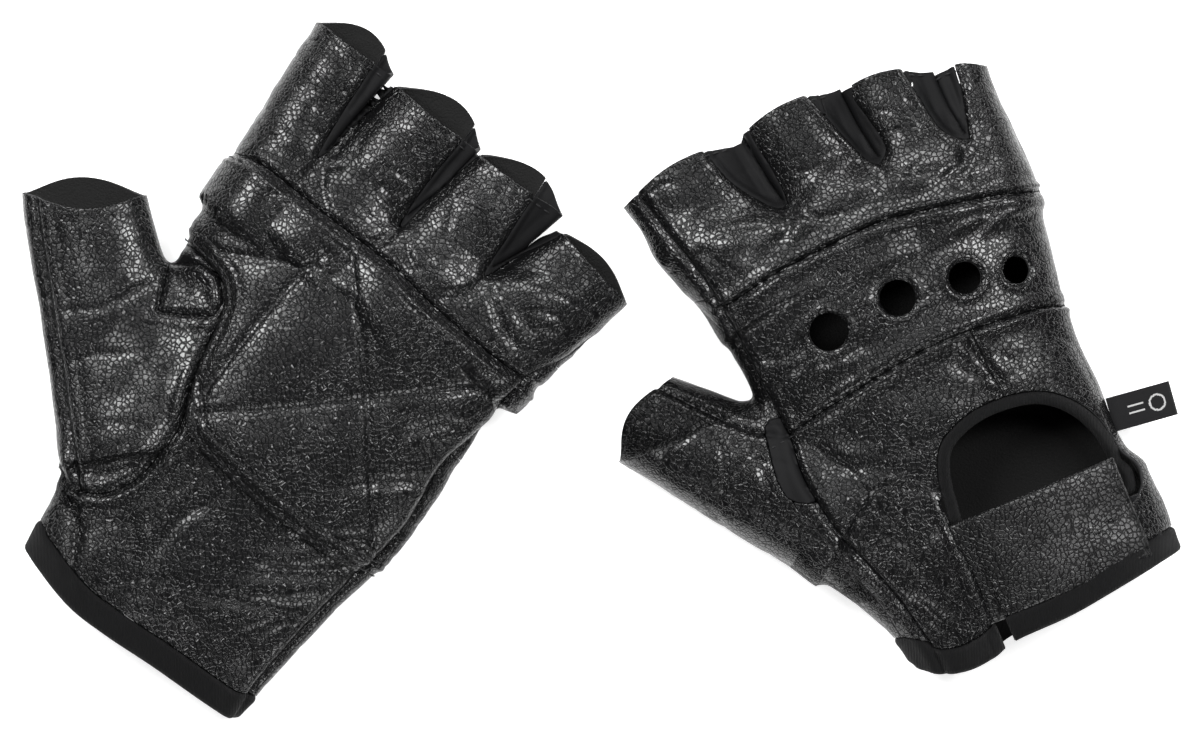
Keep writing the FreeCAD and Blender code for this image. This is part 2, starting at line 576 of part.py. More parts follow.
        # Loop tape on the back, hook tape and the closing tab over it.
        loop_low = "sizes.layer_gap"
        loop_high = f"{loop_low} + sizes.loop_thickness"
        hook_low = f"{loop_high} + sizes.free_gap"
        hook_high = f"{hook_low} + sizes.hook_thickness"
        strap_low = f"{hook_high} + sizes.layer_gap"
        strap_high = f"{strap_low} + sizes.strap_thickness"
        tab = {edge: self.size(f"strap_{edge}") for edge in ("left", "right", "low", "high")}
        loop_left = self.size("loop_left")
        seat_top = f"{self.size('vent_low')} - sizes.vent_binding_width - 1"
        self.layer("loop_patch", loop_low, loop_high,
                   [back_side, self.column("loop_keep",
                                           (loop_left, f"{tab['low']} + sizes.loop_inset"),
                                           (f"{tab['right']} + sizes.loop_show", seat_top))])
        self.layer("hook_patch", hook_low, hook_high,
                   [back_side, self.column("hook_keep", (f"{loop_left} + 2",
                                                         f"{tab['low']} + 2"),
                                           (f"{tab['right']} - 2", f"{seat_top} - 1"))])
        self.layer("strap", strap_low, strap_high,
                   [back_side, self.column("strap_keep", (tab["left"], tab["low"]),
                                           (tab["right"], tab["high"]))], [ground])


def add_label(glove):
    """The folded woven flag that is sewn into the side seam on the little-finger side."""
    edge_x = f"{glove.size('wrist_x')} + {glove.size('wrist_half')}"
    half_width = f"{glove.size('label_width')} / 2"
    half_thick = "sizes.label_thickness / 2"
    half_slot = "sizes.label_slot / 2"
    flag = glove.box("label_flag",
                     ("0", f"-1 * ({half_width})", f"{glove.size('mid_z')} - {half_thick}"),
                     (glove.size("label_length"), half_width,
                      f"{glove.size('mid_z')} + {half_thick}"),
                     (edge_x, glove.size("label_y")), glove.size("label_turn"))
    slot = glove.box("label_slot",
                     ("-1", f"-1 - {half_width}", f"{glove.size('mid_z')} - {half_slot}"),
                     (f"{glove.size('label_length')} - 2 * sizes.label_slot",
                      f"{half_width} + 1", f"{glove.size('mid_z')} + {half_slot}"),
                     (edge_x, glove.size("label_y")), glove.size("label_turn"))
    glove.piece("label", glove.cut("label_folded", flag, slot))


def check_document():
    """Stop if any object failed."""
    failed = [item.Name for item in doc.Objects
              if "Invalid" in item.State or "Error" in item.State]
    if failed:
        raise RuntimeError(f"these objects failed: {failed}")


def check_pieces(pieces):
    """Stop if a piece is empty or not a valid solid."""
    for piece in pieces:
        shape = piece.Shape
        if shape.isNull() or not shape.isValid() or not shape.Solids:
            raise RuntimeError(f"{piece.Label} has no valid solid")


left = Glove("left")
left.build()
right = Glove("right")
right.build()
add_label(right)
doc.recompute()

pieces = left.pieces + right.pieces
check_document()
check_pieces(pieces)

os.makedirs("parts", exist_ok=True)
for piece in pieces:
    piece.Shape.exportStep(f"parts/{piece.Label}.step")

whole = FreeCAD.BoundBox()
for piece in pieces:
    box = piece.Shape.optimalBoundingBox()
    whole.add(box)
    print(f"{piece.Label:26s} solids {len(piece.Shape.Solids):2d} "
          f"volume {piece.Shape.Volume:9.1f}  z {box.ZMin:6.2f} to {box.ZMax:6.2f}")
print(f"whole {whole.XMin:.3f} {whole.YMin:.3f} {whole.ZMin:.3f} to "
      f"{whole.XMax:.3f} {whole.YMax:.3f} {whole.ZMax:.3f}")
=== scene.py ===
import math
import bpy
import numpy as np
import openvdb
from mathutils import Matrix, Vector
from mathutils.bvhtree import BVHTree


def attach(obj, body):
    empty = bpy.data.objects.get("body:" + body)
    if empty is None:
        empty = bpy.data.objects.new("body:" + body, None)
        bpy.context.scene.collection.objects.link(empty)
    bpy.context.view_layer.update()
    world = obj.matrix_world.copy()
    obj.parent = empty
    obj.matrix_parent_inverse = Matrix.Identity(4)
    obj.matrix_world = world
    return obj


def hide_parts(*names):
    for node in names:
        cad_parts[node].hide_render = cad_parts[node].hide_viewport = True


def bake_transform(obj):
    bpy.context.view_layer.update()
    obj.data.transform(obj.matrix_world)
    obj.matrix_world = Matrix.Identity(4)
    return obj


# The looks of a pair of fingerless leather gloves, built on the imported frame. Lengths are in
# millimetres in each glove's own plan (X across the hand with the thumb on the -X side, Y from the
# wrist to the fingertips, Z up) until Glove.world() turns them into metres of the row frame.
#
# Each glove is one smooth form (a hand, four finger tubes and a thumb tube). Its fine skin is
# displaced by seams, creases and wrinkles, then cut along the seam lines into panels with real
# thickness. Stitches, tapes, straps and the label are laid on the skin afterwards.

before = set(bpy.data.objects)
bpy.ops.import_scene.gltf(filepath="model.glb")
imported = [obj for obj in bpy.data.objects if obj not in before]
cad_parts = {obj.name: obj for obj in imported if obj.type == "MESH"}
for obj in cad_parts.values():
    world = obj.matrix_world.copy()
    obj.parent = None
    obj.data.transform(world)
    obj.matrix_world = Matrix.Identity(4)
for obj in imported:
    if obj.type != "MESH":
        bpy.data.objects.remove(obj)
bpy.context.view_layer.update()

MM = 0.001
VOXEL = 1.45
LEATHER = 1.2         # thickness of every leather panel
SEAM_GAP = 0.12       # left free along each edge of a panel
TAB_DENT = 3.2        # how far the left tab sinks into the underside of its glove
STITCH_PITCH = 2.9    # from one stitch to the next
STITCH_RADIUS = 0.27


# ---- curves in the plan -------------------------------------------------------------------------

def rounded(points, steps=6, closed=False):
    """A smooth line through points (Catmull-Rom)."""
    pts = np.array(points, float)
    if closed:
        pts = np.vstack([pts[-1], pts, pts[0], pts[1]])
    else:
        pts = np.vstack([2 * pts[0] - pts[1], pts, 2 * pts[-1] - pts[-2]])
    t = np.linspace(0, 1, steps, endpoint=False)[:, None]
    out = []
    for a, b, c, d in zip(pts[:-3], pts[1:-2], pts[2:-1], pts[3:]):
        out.append(0.5 * (2 * b + (c - a) * t + (2 * a - 5 * b + 4 * c - d) * t ** 2
                          + (3 * b - a - 3 * c + d) * t ** 3))
    if not closed:
        out.append(pts[-2][None])
    return np.vstack(out)


def nearest(P, line, closed=False):
    """Distance to a line, the side (+1 is left of it) and how far along it the nearest point is."""
    ends = np.roll(line, -1, axis=0) if closed else line[1:]
    starts = line if closed else line[:-1]
    best = np.full(len(P), 1e9)
    side = np.zeros(len(P))
    along = np.zeros(len(P))
    run = 0.0
    for a, b in zip(starts, ends):
        step = b - a
        length = math.hypot(*step)
        if length < 1e-9:
            continue
        dx = P[:, 0] - a[0]
        dy = P[:, 1] - a[1]
        t = np.clip((dx * step[0] + dy * step[1]) / length ** 2, 0, 1)
        gap = np.hypot(dx - t * step[0], dy - t * step[1])
        closer = gap < best - 1e-9
        best = np.where(closer, gap, best)
        side = np.where(closer, np.sign(step[0] * dy - step[1] * dx + 1e-12), side)
        along = np.where(closer, run + t * length, along)
        run += length
    return best, side, along


def left_of(P, points):
    """Signed distance to a smooth line, positive on the left of the way it runs."""
    gap, side, _ = nearest(P, rounded(points))
    return gap * side


def within(P, points, smooth=True):
    """Signed distance to a closed outline, positive inside."""
    ring = rounded(points, closed=True) if smooth else np.array(points, float)
    gap, _, _ = nearest(P, ring, closed=True)
    x, y = P[:, 0], P[:, 1]
    inside = np.zeros(len(P), bool)
    for a, b in zip(ring, np.roll(ring, -1, axis=0)):
        if a[1] == b[1]:
            continue
        crosses = (a[1] > y) != (b[1] > y)
        inside ^= crosses & (x < a[0] + (y - a[1]) / (b[1] - a[1]) * (b[0] - a[0]))
    return np.where(inside, gap, -gap)


def ease(value, low, high):
    """0 below low, 1 above high, smooth between."""
    t = np.clip((value - low) / (high - low), 0, 1)
    return t * t * (3 - 2 * t)


def bell(value, width):
    return np.exp(-(value / width) ** 2)


LATTICE = np.random.default_rng(7).random((24, 24, 24))


def noise(P, size, shift=0.0):
    """Smooth noise from -1 to 1 whose lumps are about size across (one number, or one per axis)."""
    q = P / np.asarray(size, float) + shift + 500.0
    cell = np.floor(q).astype(int)
    f = q - cell
    f = f * f * (3 - 2 * f)
    total = np.zeros(len(P))
    for i in (0, 1):
        for j in (0, 1):
            for k in (0, 1):
                corner = LATTICE[(cell[:, 0] + i) % 24, (cell[:, 1] + j) % 24,
                                 (cell[:, 2] + k) % 24]
                weight = ((f[:, 0] if i else 1 - f[:, 0]) * (f[:, 1] if j else 1 - f[:, 1])
                          * (f[:, 2] if k else 1 - f[:, 2]))
                total += corner * weight
    return 2 * total - 1


def crease(P, size, shift):
    """Thin valleys between soft pads, 0 on the pads and 1 in a valley."""
    bend = np.stack([noise(P, 11, shift + 3), noise(P, 11, shift + 8), P[:, 2] * 0], axis=1)
    return np.clip(1 - np.abs(noise(P + 3.0 * bend, size, shift)) * 3.2, 0, 1) ** 1.6


# ---- forms --------------------------------------------------------------------------------------

def roll(u, v, half, tall, power):
    """About the distance outside a rounded slot section; u and v run from -1 to 1 across it."""
    u = np.abs(u) + 1e-6
    v = np.abs(v) + 1e-6
    reach = (u ** power + v ** power) ** (1 / power)
    slope = np.hypot((u / reach) ** (power - 1) / half, (v / reach) ** (power - 1) / tall)
    return (reach - 1) / slope


def join(a, b, softness):
    """Union of two forms with a fillet of about softness."""
    h = np.clip(0.5 + 0.5 * (b - a) / softness, 0, 1)
    return b + (a - b) * h - softness * h * (1 - h)


def trim(a, b, softness):
    return -join(-a, -b, softness)


class Tube:
    """A finger or thumb: a tapering tube with an open end."""

    power = 2.2     # of the rounded section: 2 is an ellipse

    def __init__(self, base, tip, half, tall, z, rim_turn, arch):
        self.base = np.array(base, float)
        self.tip = np.array(tip, float)
        self.half, self.tall, self.z = half, tall, z
        self.rim = np.array([-math.sin(math.radians(rim_turn)), math.cos(math.radians(rim_turn))])
        self.arch = arch

    def section(self, P):
        length = np.linalg.norm(self.tip - self.base)
        axis = (self.tip - self.base) / length
        q = P[:, :2] - self.base
        t = np.clip((q @ axis) / length, -0.4, 1.5)
        half = np.maximum(self.half[0] + (self.half[1] - self.half[0]) * t, 3)
        tall = self.tall[0] + (self.tall[1] - self.tall[0]) * t
        middle = self.z[0] + (self.z[1] - self.z[0]) * t
        across = (q[:, 0] * axis[1] - q[:, 1] * axis[0]) / half
        return across, (P[:, 2] - middle) / tall, half, tall, q @ axis

    def outside(self, P):
        u, v, half, tall, run = self.section(P)
        return np.maximum(roll(u, v, half, tall, self.power), -8 - run)

    def beyond_rim(self, P):
        """Positive past the open end. The rim's upper and lower sides arch out by arch."""
        u, v, _, _, _ = self.section(P)
        v = np.clip(v, -1, 1)
        reach = (self.arch[0] * (1 + v) + self.arch[1] * (1 - v)) / 2 * (1 - np.clip(u, -1, 1) ** 2)
        return (P[:, :2] - self.tip) @ self.rim - reach


class Form:
    """The smooth form of one glove. gap_half is half the width of the slots between fingers."""

    gap_half = 0.0

    def __init__(self, left, right, tall, middle, crotch, gaps, fingers, thumb, power=2.5):
        self.left, self.right = rounded(left), rounded(right)
        self.tall, self.middle, self.crotch = np.array(tall), np.array(middle), rounded(crotch)
        self.gaps, self.fingers, self.thumb, self.power = gaps, fingers, thumb, power

    def centre(self, P):
        return np.interp(P[:, 1], self.middle[:, 0], self.middle[:, 1])

    def outside(self, P):
        y = P[:, 1]
        low = np.interp(y, self.left[:, 1], self.left[:, 0])
        high = np.interp(y, self.right[:, 1], self.right[:, 0])
        tall = np.interp(y, self.tall[:, 0], self.tall[:, 1])
        half = (high - low) / 2
        u = (P[:, 0] - (low + high) / 2) / half
        v = (P[:, 2] - self.centre(P)) / tall
        hand = roll(u, v, half, tall, self.power)
        cap = y - np.interp(P[:, 0], self.crotch[:, 0], self.crotch[:, 1])
        hand = trim(hand, cap, 9)
        tubes = self.fingers[0].outside(P)
        for finger in self.fingers[1:]:
            tubes = join(tubes, finger.outside(P), 1.5)
        hand = join(hand, tubes, 7)
        for gap in self.gaps:
            distance, _, _ = nearest(P, np.array(gap, float))
            hand = trim(hand, self.gap_half - distance, 1.2)
        return join(hand, self.thumb.outside(P), 9)


def skin_of(form, low, high, voxel):
    """The form's surface as positions, normals and quads."""
    axes = [np.arange(a, b, voxel) for a, b in zip(low, high)]
    grid = np.stack(np.meshgrid(*axes, indexing="ij"), axis=-1)
    shape = grid.shape[:3]
    form.gap_half = 1.2 * voxel     # wide enough for the grid to see; closed up again below
    values = form.outside(grid.reshape(-1, 3)).reshape(shape)
    volume = openvdb.FloatGrid(10.0)
    volume.copyFromArray(values.astype(np.float32))
    points, quads = volume.convertToQuads(isovalue=0.0)
    mesh = bpy.data.meshes.new("skin")
    mesh.from_pydata((np.array(points) * voxel + low).tolist(), [], np.array(quads).tolist())
    carrier = bpy.data.objects.new("skin", mesh)
    bpy.context.collection.objects.link(carrier)
    carrier.modifiers.new("finer", "SUBSURF").levels = 1
    fine = carrier.evaluated_get(bpy.context.evaluated_depsgraph_get()).to_mesh()
    P = np.zeros(len(fine.vertices) * 3)
    fine.vertices.foreach_get("co", P)
    P = P.reshape(-1, 3)
    Q = np.zeros(len(fine.loops), int)
    fine.loops.foreach_get("vertex_index", Q)
    Q = Q.reshape(-1, 4)
    bpy.data.objects.remove(carrier)
    bpy.data.meshes.remove(mesh)
    form.gap_half = 0.2
    for _ in range(5):
        value, slope = form.outside(P), gradient(form.outside, P)
        P = P - slope * (np.clip(value, -0.6, 0.6) / np.maximum((slope ** 2).sum(1), 0.1))[:, None]
    N = gradient(form.outside, P)
    N /= np.linalg.norm(N, axis=1)[:, None] + 1e-9
    a, b, c = P[Q[:, 0]], P[Q[:, 1]], P[Q[:, 2]]
    if (np.cross(b - a, c - b) * N[Q[:, 0]]).sum() < 0:
        Q = Q[:, ::-1]
    return P, N, Q


def gradient(function, P, step=0.3):
    out = np.zeros_like(P)
    for axis in range(3):
        shift = np.zeros(3)
        shift[axis] = step
        out[:, axis] = (function(P + shift) - function(P - shift)) / (2 * step)
    return out


# ---- cutting and thickening ---------------------------------------------------------------------

def clip(values, quads):
    """Keep where values > 0. New points lie on cut edges, given as (a, b, share of b)."""
    inside = values > 0
    count = inside[quads].sum(1)
    whole = quads[count == 4]
    part = quads[(count > 0) & (count < 4)]
    corners = np.vstack([part[:, [0, 1, 2]], part[:, [0, 2, 3]]])
    marks = inside[corners]
    tris = [corners[marks.all(1)]]
    tris_new, quads_new = [], []
    for first in range(3):
        order = [first, (first + 1) % 3, (first + 2) % 3]
        t, m = corners[:, order], marks[:, order]
        tris_new.append(t[m[:, 0] & ~m[:, 1] & ~m[:, 2]])
        quads_new.append(t[~m[:, 0] & m[:, 1] & m[:, 2]])
    one, two = np.vstack(tris_new), np.vstack(quads_new)
    pairs = np.vstack([one[:, [0, 1]], one[:, [0, 2]], two[:, [1, 0]], two[:, [2, 0]]])
    keys, where = np.unique(np.sort(pairs, axis=1), axis=0, return_inverse=True)
    where = where.ravel() + len(values)
    k = len(one)
    m = len(two)
    tris.append(np.stack([one[:, 0], where[:k], where[k:2 * k]], axis=1))
    cut_quads = np.stack([two[:, 1], two[:, 2], where[2 * k + m:], where[2 * k:2 * k + m]], axis=1)
    a, b = keys[:, 0], keys[:, 1]
    share = values[a] / (values[a] - values[b])
    return np.vstack([whole, cut_quads]), np.vstack(tris), (a, b, share)


def spread(values, cuts):
    """Carry a value per point over to the cut points."""
    a, b, share = cuts
    if values.ndim > 1:
        share = share[:, None]
    return np.concatenate([values, values[a] * (1 - share) + values[b] * share])


def loose_edges(quads, tris):
    """Directed edges that only one face has."""
    edges = np.vstack([quads[:, [0, 1]], quads[:, [1, 2]], quads[:, [2, 3]], quads[:, [3, 0]],
                       tris[:, [0, 1]], tris[:, [1, 2]], tris[:, [2, 0]]])
    top = edges.max() + 1
    forward = edges[:, 0].astype(np.int64) * top + edges[:, 1]
    backward = edges[:, 1].astype(np.int64) * top + edges[:, 0]
    return edges[~np.isin(forward, backward)]


def make_object(name, P, quads, tris, materials, marks=None):
    """A mesh object in the row frame from metres and face arrays. marks is a material per face."""
    mesh = bpy.data.meshes.new(name)
    loops = np.concatenate([quads.ravel(), tris.ravel()])
    totals = np.concatenate([np.full(len(quads), 4), np.full(len(tris), 3)])
    mesh.vertices.add(len(P))
    mesh.vertices.foreach_set("co", P.ravel())
    mesh.loops.add(len(loops))
    mesh.loops.foreach_set("vertex_index", loops)
    mesh.polygons.add(len(totals))
    mesh.polygons.foreach_set("loop_start", np.concatenate([[0], np.cumsum(totals)[:-1]]))
    mesh.polygons.foreach_set("loop_total", totals)
    if marks is not None:
        mesh.polygons.foreach_set("material_index", marks)
    mesh.polygons.foreach_set("use_smooth", np.ones(len(totals), bool))
    for material in materials:
        mesh.materials.append(material)
    mesh.update(calc_edges=True)
    piece = bpy.data.objects.new(name, mesh)
    bpy.context.collection.objects.link(piece)
    return piece


def shell(name, outer, inner, quads, tris, materials):
    """A closed shell between two copies of one patch: outside, inside and rim."""
    used = np.unique(np.concatenate([quads.ravel(), tris.ravel()]))
    renumber = np.zeros(len(outer), int)
    renumber[used] = np.arange(len(used))
    quads, tris = renumber[quads], renumber[tris]
    edges = loose_edges(quads, tris)
    n = len(used)
    rim = np.stack([edges[:, 1], edges[:, 0], edges[:, 0] + n, edges[:, 1] + n], axis=1)
    P = np.vstack([outer[used], inner[used]])
    all_quads = np.vstack([quads, quads[:, ::-1] + n, rim])
    all_tris = np.vstack([tris, tris[:, ::-1] + n])
    marks = np.concatenate([np.zeros(len(quads)), np.ones(len(quads)), np.full(len(rim), 2),
                            np.zeros(len(tris)), np.ones(len(tris))]).astype(np.int32)
    return make_object(name, P, all_quads, all_tris, materials, marks)


# ---- materials ----------------------------------------------------------------------------------

class Shader:
    """A small helper for node materials: one principled surface with a bump built from textures."""

    def __init__(self, name, color, roughness):
        self.material = bpy.data.materials.new(name)
        self.material.use_nodes = True
        self.tree = self.material.node_tree
        self.surface = self.tree.nodes["Principled BSDF"]
        self.surface.inputs["Base Color"].default_value = (*color, 1)
        self.surface.inputs["Roughness"].default_value = roughness
        self.place = self.node("ShaderNodeTexCoord").outputs["Object"]

    def node(self, kind, **settings):
        made = self.tree.nodes.new(kind)
        for key, value in settings.items():
            if key in made.inputs:
                self.put(made.inputs[key], value)
            else:
                setattr(made, key, value)
        return made

    def put(self, socket, value):
        if isinstance(value, bpy.types.NodeSocket):
            self.tree.links.new(value, socket)
        else:
            socket.default_value = value

    def math(self, operation, a, b=0.0, c=0.0):
        made = self.node("ShaderNodeMath", operation=operation)
        for socket, value in zip(made.inputs, (a, b, c)):
            self.put(socket, value)
        return made.outputs[0]

    def cloud(self, scale, detail=3.0, place=None, kind="FBM"):
        made = self.node("ShaderNodeTexNoise", noise_type=kind, Scale=scale, Detail=detail,
                         Vector=place or self.place)
        return made.outputs["Fac"]

    def warped(self, scale, amount):
        push = self.node("ShaderNodeTexNoise", Scale=scale, Detail=2.0, Vector=self.place)
        mixed = self.node("ShaderNodeVectorMath", operation="MULTIPLY_ADD")
        self.put(mixed.inputs[0], push.outputs["Color"])
        mixed.inputs[1].default_value = (amount, amount, amount)
        self.put(mixed.inputs[2], self.place)
        return mixed.outputs[0]

    def cells(self, scale, place):
        made = self.node("ShaderNodeTexVoronoi", feature="DISTANCE_TO_EDGE", Scale=scale,
                         Vector=place)
        return made.outputs["Distance"]

    def stepped(self, value, low, high, out_low=0.0, out_high=1.0):
        made = self.node("ShaderNodeMapRange", interpolation_type="SMOOTHSTEP")
        for key, number in (("From Min", low), ("From Max", high), ("To Min", out_low),
                            ("To Max", out_high)):
            self.put(made.inputs[key], number)
        self.put(made.inputs["Value"], value)
        return made.outputs["Result"]

    def bump(self, height, distance, under=None):
        made = self.node("ShaderNodeBump", Strength=1.0, Distance=distance)
        self.put(made.inputs["Height"], height)
        if under is not None:
            self.put(made.inputs["Normal"], under)
        return made.outputs["Normal"]

    def set(self, **inputs):
        for key, value in inputs.items():
            self.put(self.surface.inputs[key.replace("_", " ")], value)


def leather_material(name, roughness):
    """Glossy black leather: flat-topped pebbles about a millimetre across, dull in the cracks."""
    s = Shader(name, (0.0045, 0.0045, 0.0048), roughness)
    bent = s.warped(300.0, 0.0010)
    edge = s.cells(720.0, bent)
    pads = s.stepped(edge, 0.0, 0.2)
    tops = s.cloud(1000.0, 1.0)
    patchy = s.stepped(s.cloud(60.0), 0.38, 0.6, 0.6, 1.0)
    pebbles = s.math("MULTIPLY", s.math("MULTIPLY_ADD", tops, 0.3, pads), patchy)
    lines = s.cloud(120.0, 2.0, bent, "RIDGED_MULTIFRACTAL")
    coarse = s.bump(lines, 0.00012)
    fine = s.bump(pebbles, 0.00018, coarse)
    shine = s.stepped(edge, 0.02, 0.17)
    s.set(Normal=fine, Coat_Normal=coarse, Coat_Roughness=0.26)
    s.set(Specular_IOR_Level=s.math("MULTIPLY_ADD", shine, 0.4, 0.14))
    s.set(Coat_Weight=s.math("MULTIPLY_ADD", shine, 0.22, 0.04))
    return s.material


def cloth_material(name, color, roughness, scale, depth, sheen=0.0):
    s = Shader(name, color, roughness)
    s.set(Normal=s.bump(s.cloud(scale, 2.0), depth), Sheen_Weight=sheen, Sheen_Roughness=0.5)
    s.set(Specular_IOR_Level=0.22)
    return s.material


def ribbed_material(name, color, roughness, scale, depth):
    """Binding tape: fine ribs with a little fuzz."""
    s = Shader(name, color, roughness)
    ribs = s.node("ShaderNodeTexWave", Scale=scale, Distortion=1.5, Vector=s.place)
    height = s.math("MULTIPLY_ADD", s.cloud(2600.0), 0.8, ribs.outputs["Fac"])
    s.set(Normal=s.bump(height, depth), Sheen_Weight=0.02, Specular_IOR_Level=0.25)
    return s.material


LEATHER_TOP = leather_material("leather", 0.25)
LEATHER_SMOOTH = leather_material("leather_strap", 0.34)
SUEDE = cloth_material("suede_lining", (0.012, 0.012, 0.012), 0.95, 1500.0, 0.0006, 0.05)
RAW = cloth_material("raw_edge", (0.028, 0.028, 0.029), 0.7, 3000.0, 0.0002)
STRETCH = cloth_material("stretch_fabric", (0.0035, 0.0035, 0.004), 0.7, 5200.0, 0.00005)
TAPE = ribbed_material("edge_tape", (0.0035, 0.0035, 0.004), 0.75, 700.0, 0.0004)
FOAM = cloth_material("padding", (0.1, 0.1, 0.1), 0.9, 900.0, 0.0003)
LOOP = cloth_material("loop_tape", (0.008, 0.008, 0.009), 0.95, 1800.0, 0.0009, 0.1)
HOOK = cloth_material("hook_tape", (0.012, 0.012, 0.013), 0.5, 2500.0, 0.0001)
THREAD = cloth_material("thread", (0.02, 0.02, 0.021), 0.45, 4000.0, 0.0001)
RIBBON = ribbed_material("label_ribbon", (0.01, 0.01, 0.011), 0.6, 2000.0, 0.00005)
MARK = cloth_material("label_mark", (0.45, 0.45, 0.45), 0.7, 3000.0, 0.0001)
LEATHER_LAYERS = (LEATHER_TOP, SUEDE, RAW)


# ---- a glove ------------------------------------------------------------------------------------

class Glove:
    """One glove: its skin, the fields that seams are drawn with, and the pieces cut from it."""

    def __init__(self, side, place, form, low, high):
        self.side, self.form = side, form
        self.place_x, self.place_y, self.turn = place[0], place[1], math.radians(place[2])
        self.P, self.N, self.Q = skin_of(form, np.array(low), np.array(high), VOXEL)
        self.top = self.P[:, 2] - form.centre(self.P)
        tubes = form.fingers + [form.thumb]
        owner = np.zeros(len(self.P), int)
        for gap in form.gaps:
            _, side_of_gap, _ = nearest(self.P, np.array(gap, float))
            owner += side_of_gap < 0
        reach = [tube.outside(self.P) for tube in tubes]
        owner = np.where(reach[-1] < np.min(reach[:-1], axis=0), len(tubes) - 1, owner)
        self.rims = np.choose(owner, [tube.beyond_rim(self.P) for tube in tubes])
        self.height = np.zeros(len(self.P))
        self.stitches = []

    def world(self, P):
        """From the glove's own millimetres to metres of the row frame."""
        c, s = math.cos(self.turn), math.sin(self.turn)
        P = np.atleast_2d(P)
        return np.stack([self.place_x + c * P[:, 0] - s * P[:, 1],
                         self.place_y + s * P[:, 0] + c * P[:, 1], P[:, 2]], axis=1) * MM

    def line(self, points):
        return left_of(self.P, points)

    def zone(self, points, smooth=True):
        return within(self.P, points, smooth)

    def seam(self, field, mask=1.0, depth=0.8, puff=0.4, bead=0.0):
        """Press a seam into the skin along the zero line of a field, with a bead on its + side."""
        shape = -depth * bell(field, 0.75)
        shape += puff * (bell(field - 2.6, 1.6) + bell(field + 2.6, 1.6))
        shape += bead * bell(field - 1.3, 0.9)
        self.height += shape * mask

    def fold(self, points, width, depth):
        """One crease that fades out at both ends."""
        line = rounded(points)
        gap, sign, along = nearest(self.P, line)
        total = np.hypot(*np.diff(line, axis=0).T).sum()
        fade = np.sin(math.pi * np.clip(along / total, 0.02, 0.98)) ** 0.7
        facing = ease(self.top, -2, 3)
        valley = -bell(gap, width)
        ridge = 0.3 * bell(gap - 1.9 * width, 1.2 * width)
        self.height += 0.65 * depth * (valley + ridge) * fade * facing

    def displace(self):
        for gap in self.form.gaps:
            distance, _, _ = nearest(self.P, np.array(gap, float))
            self.height *= ease(distance, 0.2, 3.5)
            self.height += 0.45 * (1 - ease(distance, 0.4, 1.6))
        self.D = self.P + self.N * self.height[:, None]
        self.D[:, 2] = np.maximum(self.D[:, 2], 0.3)
        self.tree = BVHTree.FromPolygons(self.D.tolist(), self.Q.tolist())
        self.smooth_tree = BVHTree.FromPolygons(self.P.tolist(), self.Q.tolist())

    def finish_piece(self, piece, nodes, slot, body=None):
        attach(piece, body or f"{self.side}_glove")
        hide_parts(*[f"{self.side}_{node}" for node in nodes])
        return piece

    def panel(self, node, fields, materials=LEATHER_LAYERS, slot="leather", lift=0.0,
              thick=LEATHER, soft_edge=0.0, crown=None):
        """Cut a panel where every field is positive and give it thickness."""
        values = np.min(np.stack(fields + [-self.rims]), axis=0) - SEAM_GAP
        quads, tris, cuts = clip(values, self.Q)
        skin, normal = spread(self.D, cuts), spread(self.N, cuts)
        normal /= np.linalg.norm(normal, axis=1)[:, None]
        rise = np.full(len(skin), lift)
        if soft_edge:
            inset = np.clip(spread(values, cuts) / soft_edge, 0, 1)
            rise = lift - thick * 0.55 * (1 - np.sqrt(1 - (1 - inset) ** 2))
        under = np.full(len(skin), lift - thick)
        if crown is not None:
            rise = rise + spread(crown, cuts)
            under = under + spread(crown, cuts)
        outer = skin + normal * rise[:, None]
        inner = skin + normal * under[:, None]
        inner[:, 2] = np.maximum(inner[:, 2], 0.25)
        piece = shell(f"{self.side}_{node}_look", self.world(outer), self.world(inner),
                      quads, tris, materials)
        return self.finish_piece(piece, [node], slot)

    def seat(self, x, y, up=True, smooth=False):
        """The skin's height and normal straight above or below a point of the plan."""
        start = Vector((x, y, 90 if up else -90))
        tree = self.smooth_tree if smooth else self.tree
        hit = tree.ray_cast(start, Vector((0, 0, -1 if up else 1)))
        return (None, None) if hit[0] is None else (np.array(hit[0]), np.array(hit[1]))

    def stitch_row(self, points, offset=0.0, lift=0.0):
        """Lay stitches along a line of the plan, moved to its left by offset."""
        line = rounded(points, 10)
        step = np.gradient(line, axis=0)
        step /= np.linalg.norm(step, axis=1)[:, None] + 1e-9
        line = line + offset * np.stack([-step[:, 1], step[:, 0]], axis=1)
        run = np.concatenate([[0], np.cumsum(np.hypot(*np.diff(line, axis=0).T))])
        reach = 0.34 * STITCH_PITCH
        for s in np.arange(STITCH_PITCH / 2, run[-1], STITCH_PITCH):
            ends = [np.array([np.interp(s + d, run, line[:, k]) for k in (0, 1)])
                    for d in (-reach, reach)]
            seats = [self.seat(*end) for end in ends]
            if any(found[0] is None for found in seats):
                continue
            normal = seats[0][1] + seats[1][1]
            normal /= np.linalg.norm(normal)
            if abs(normal[2]) < 0.25:
                continue
            self.stitches.append((seats[0][0] + normal * (lift + 0.08),
                                  seats[1][0] + normal * (lift + 0.08), normal))

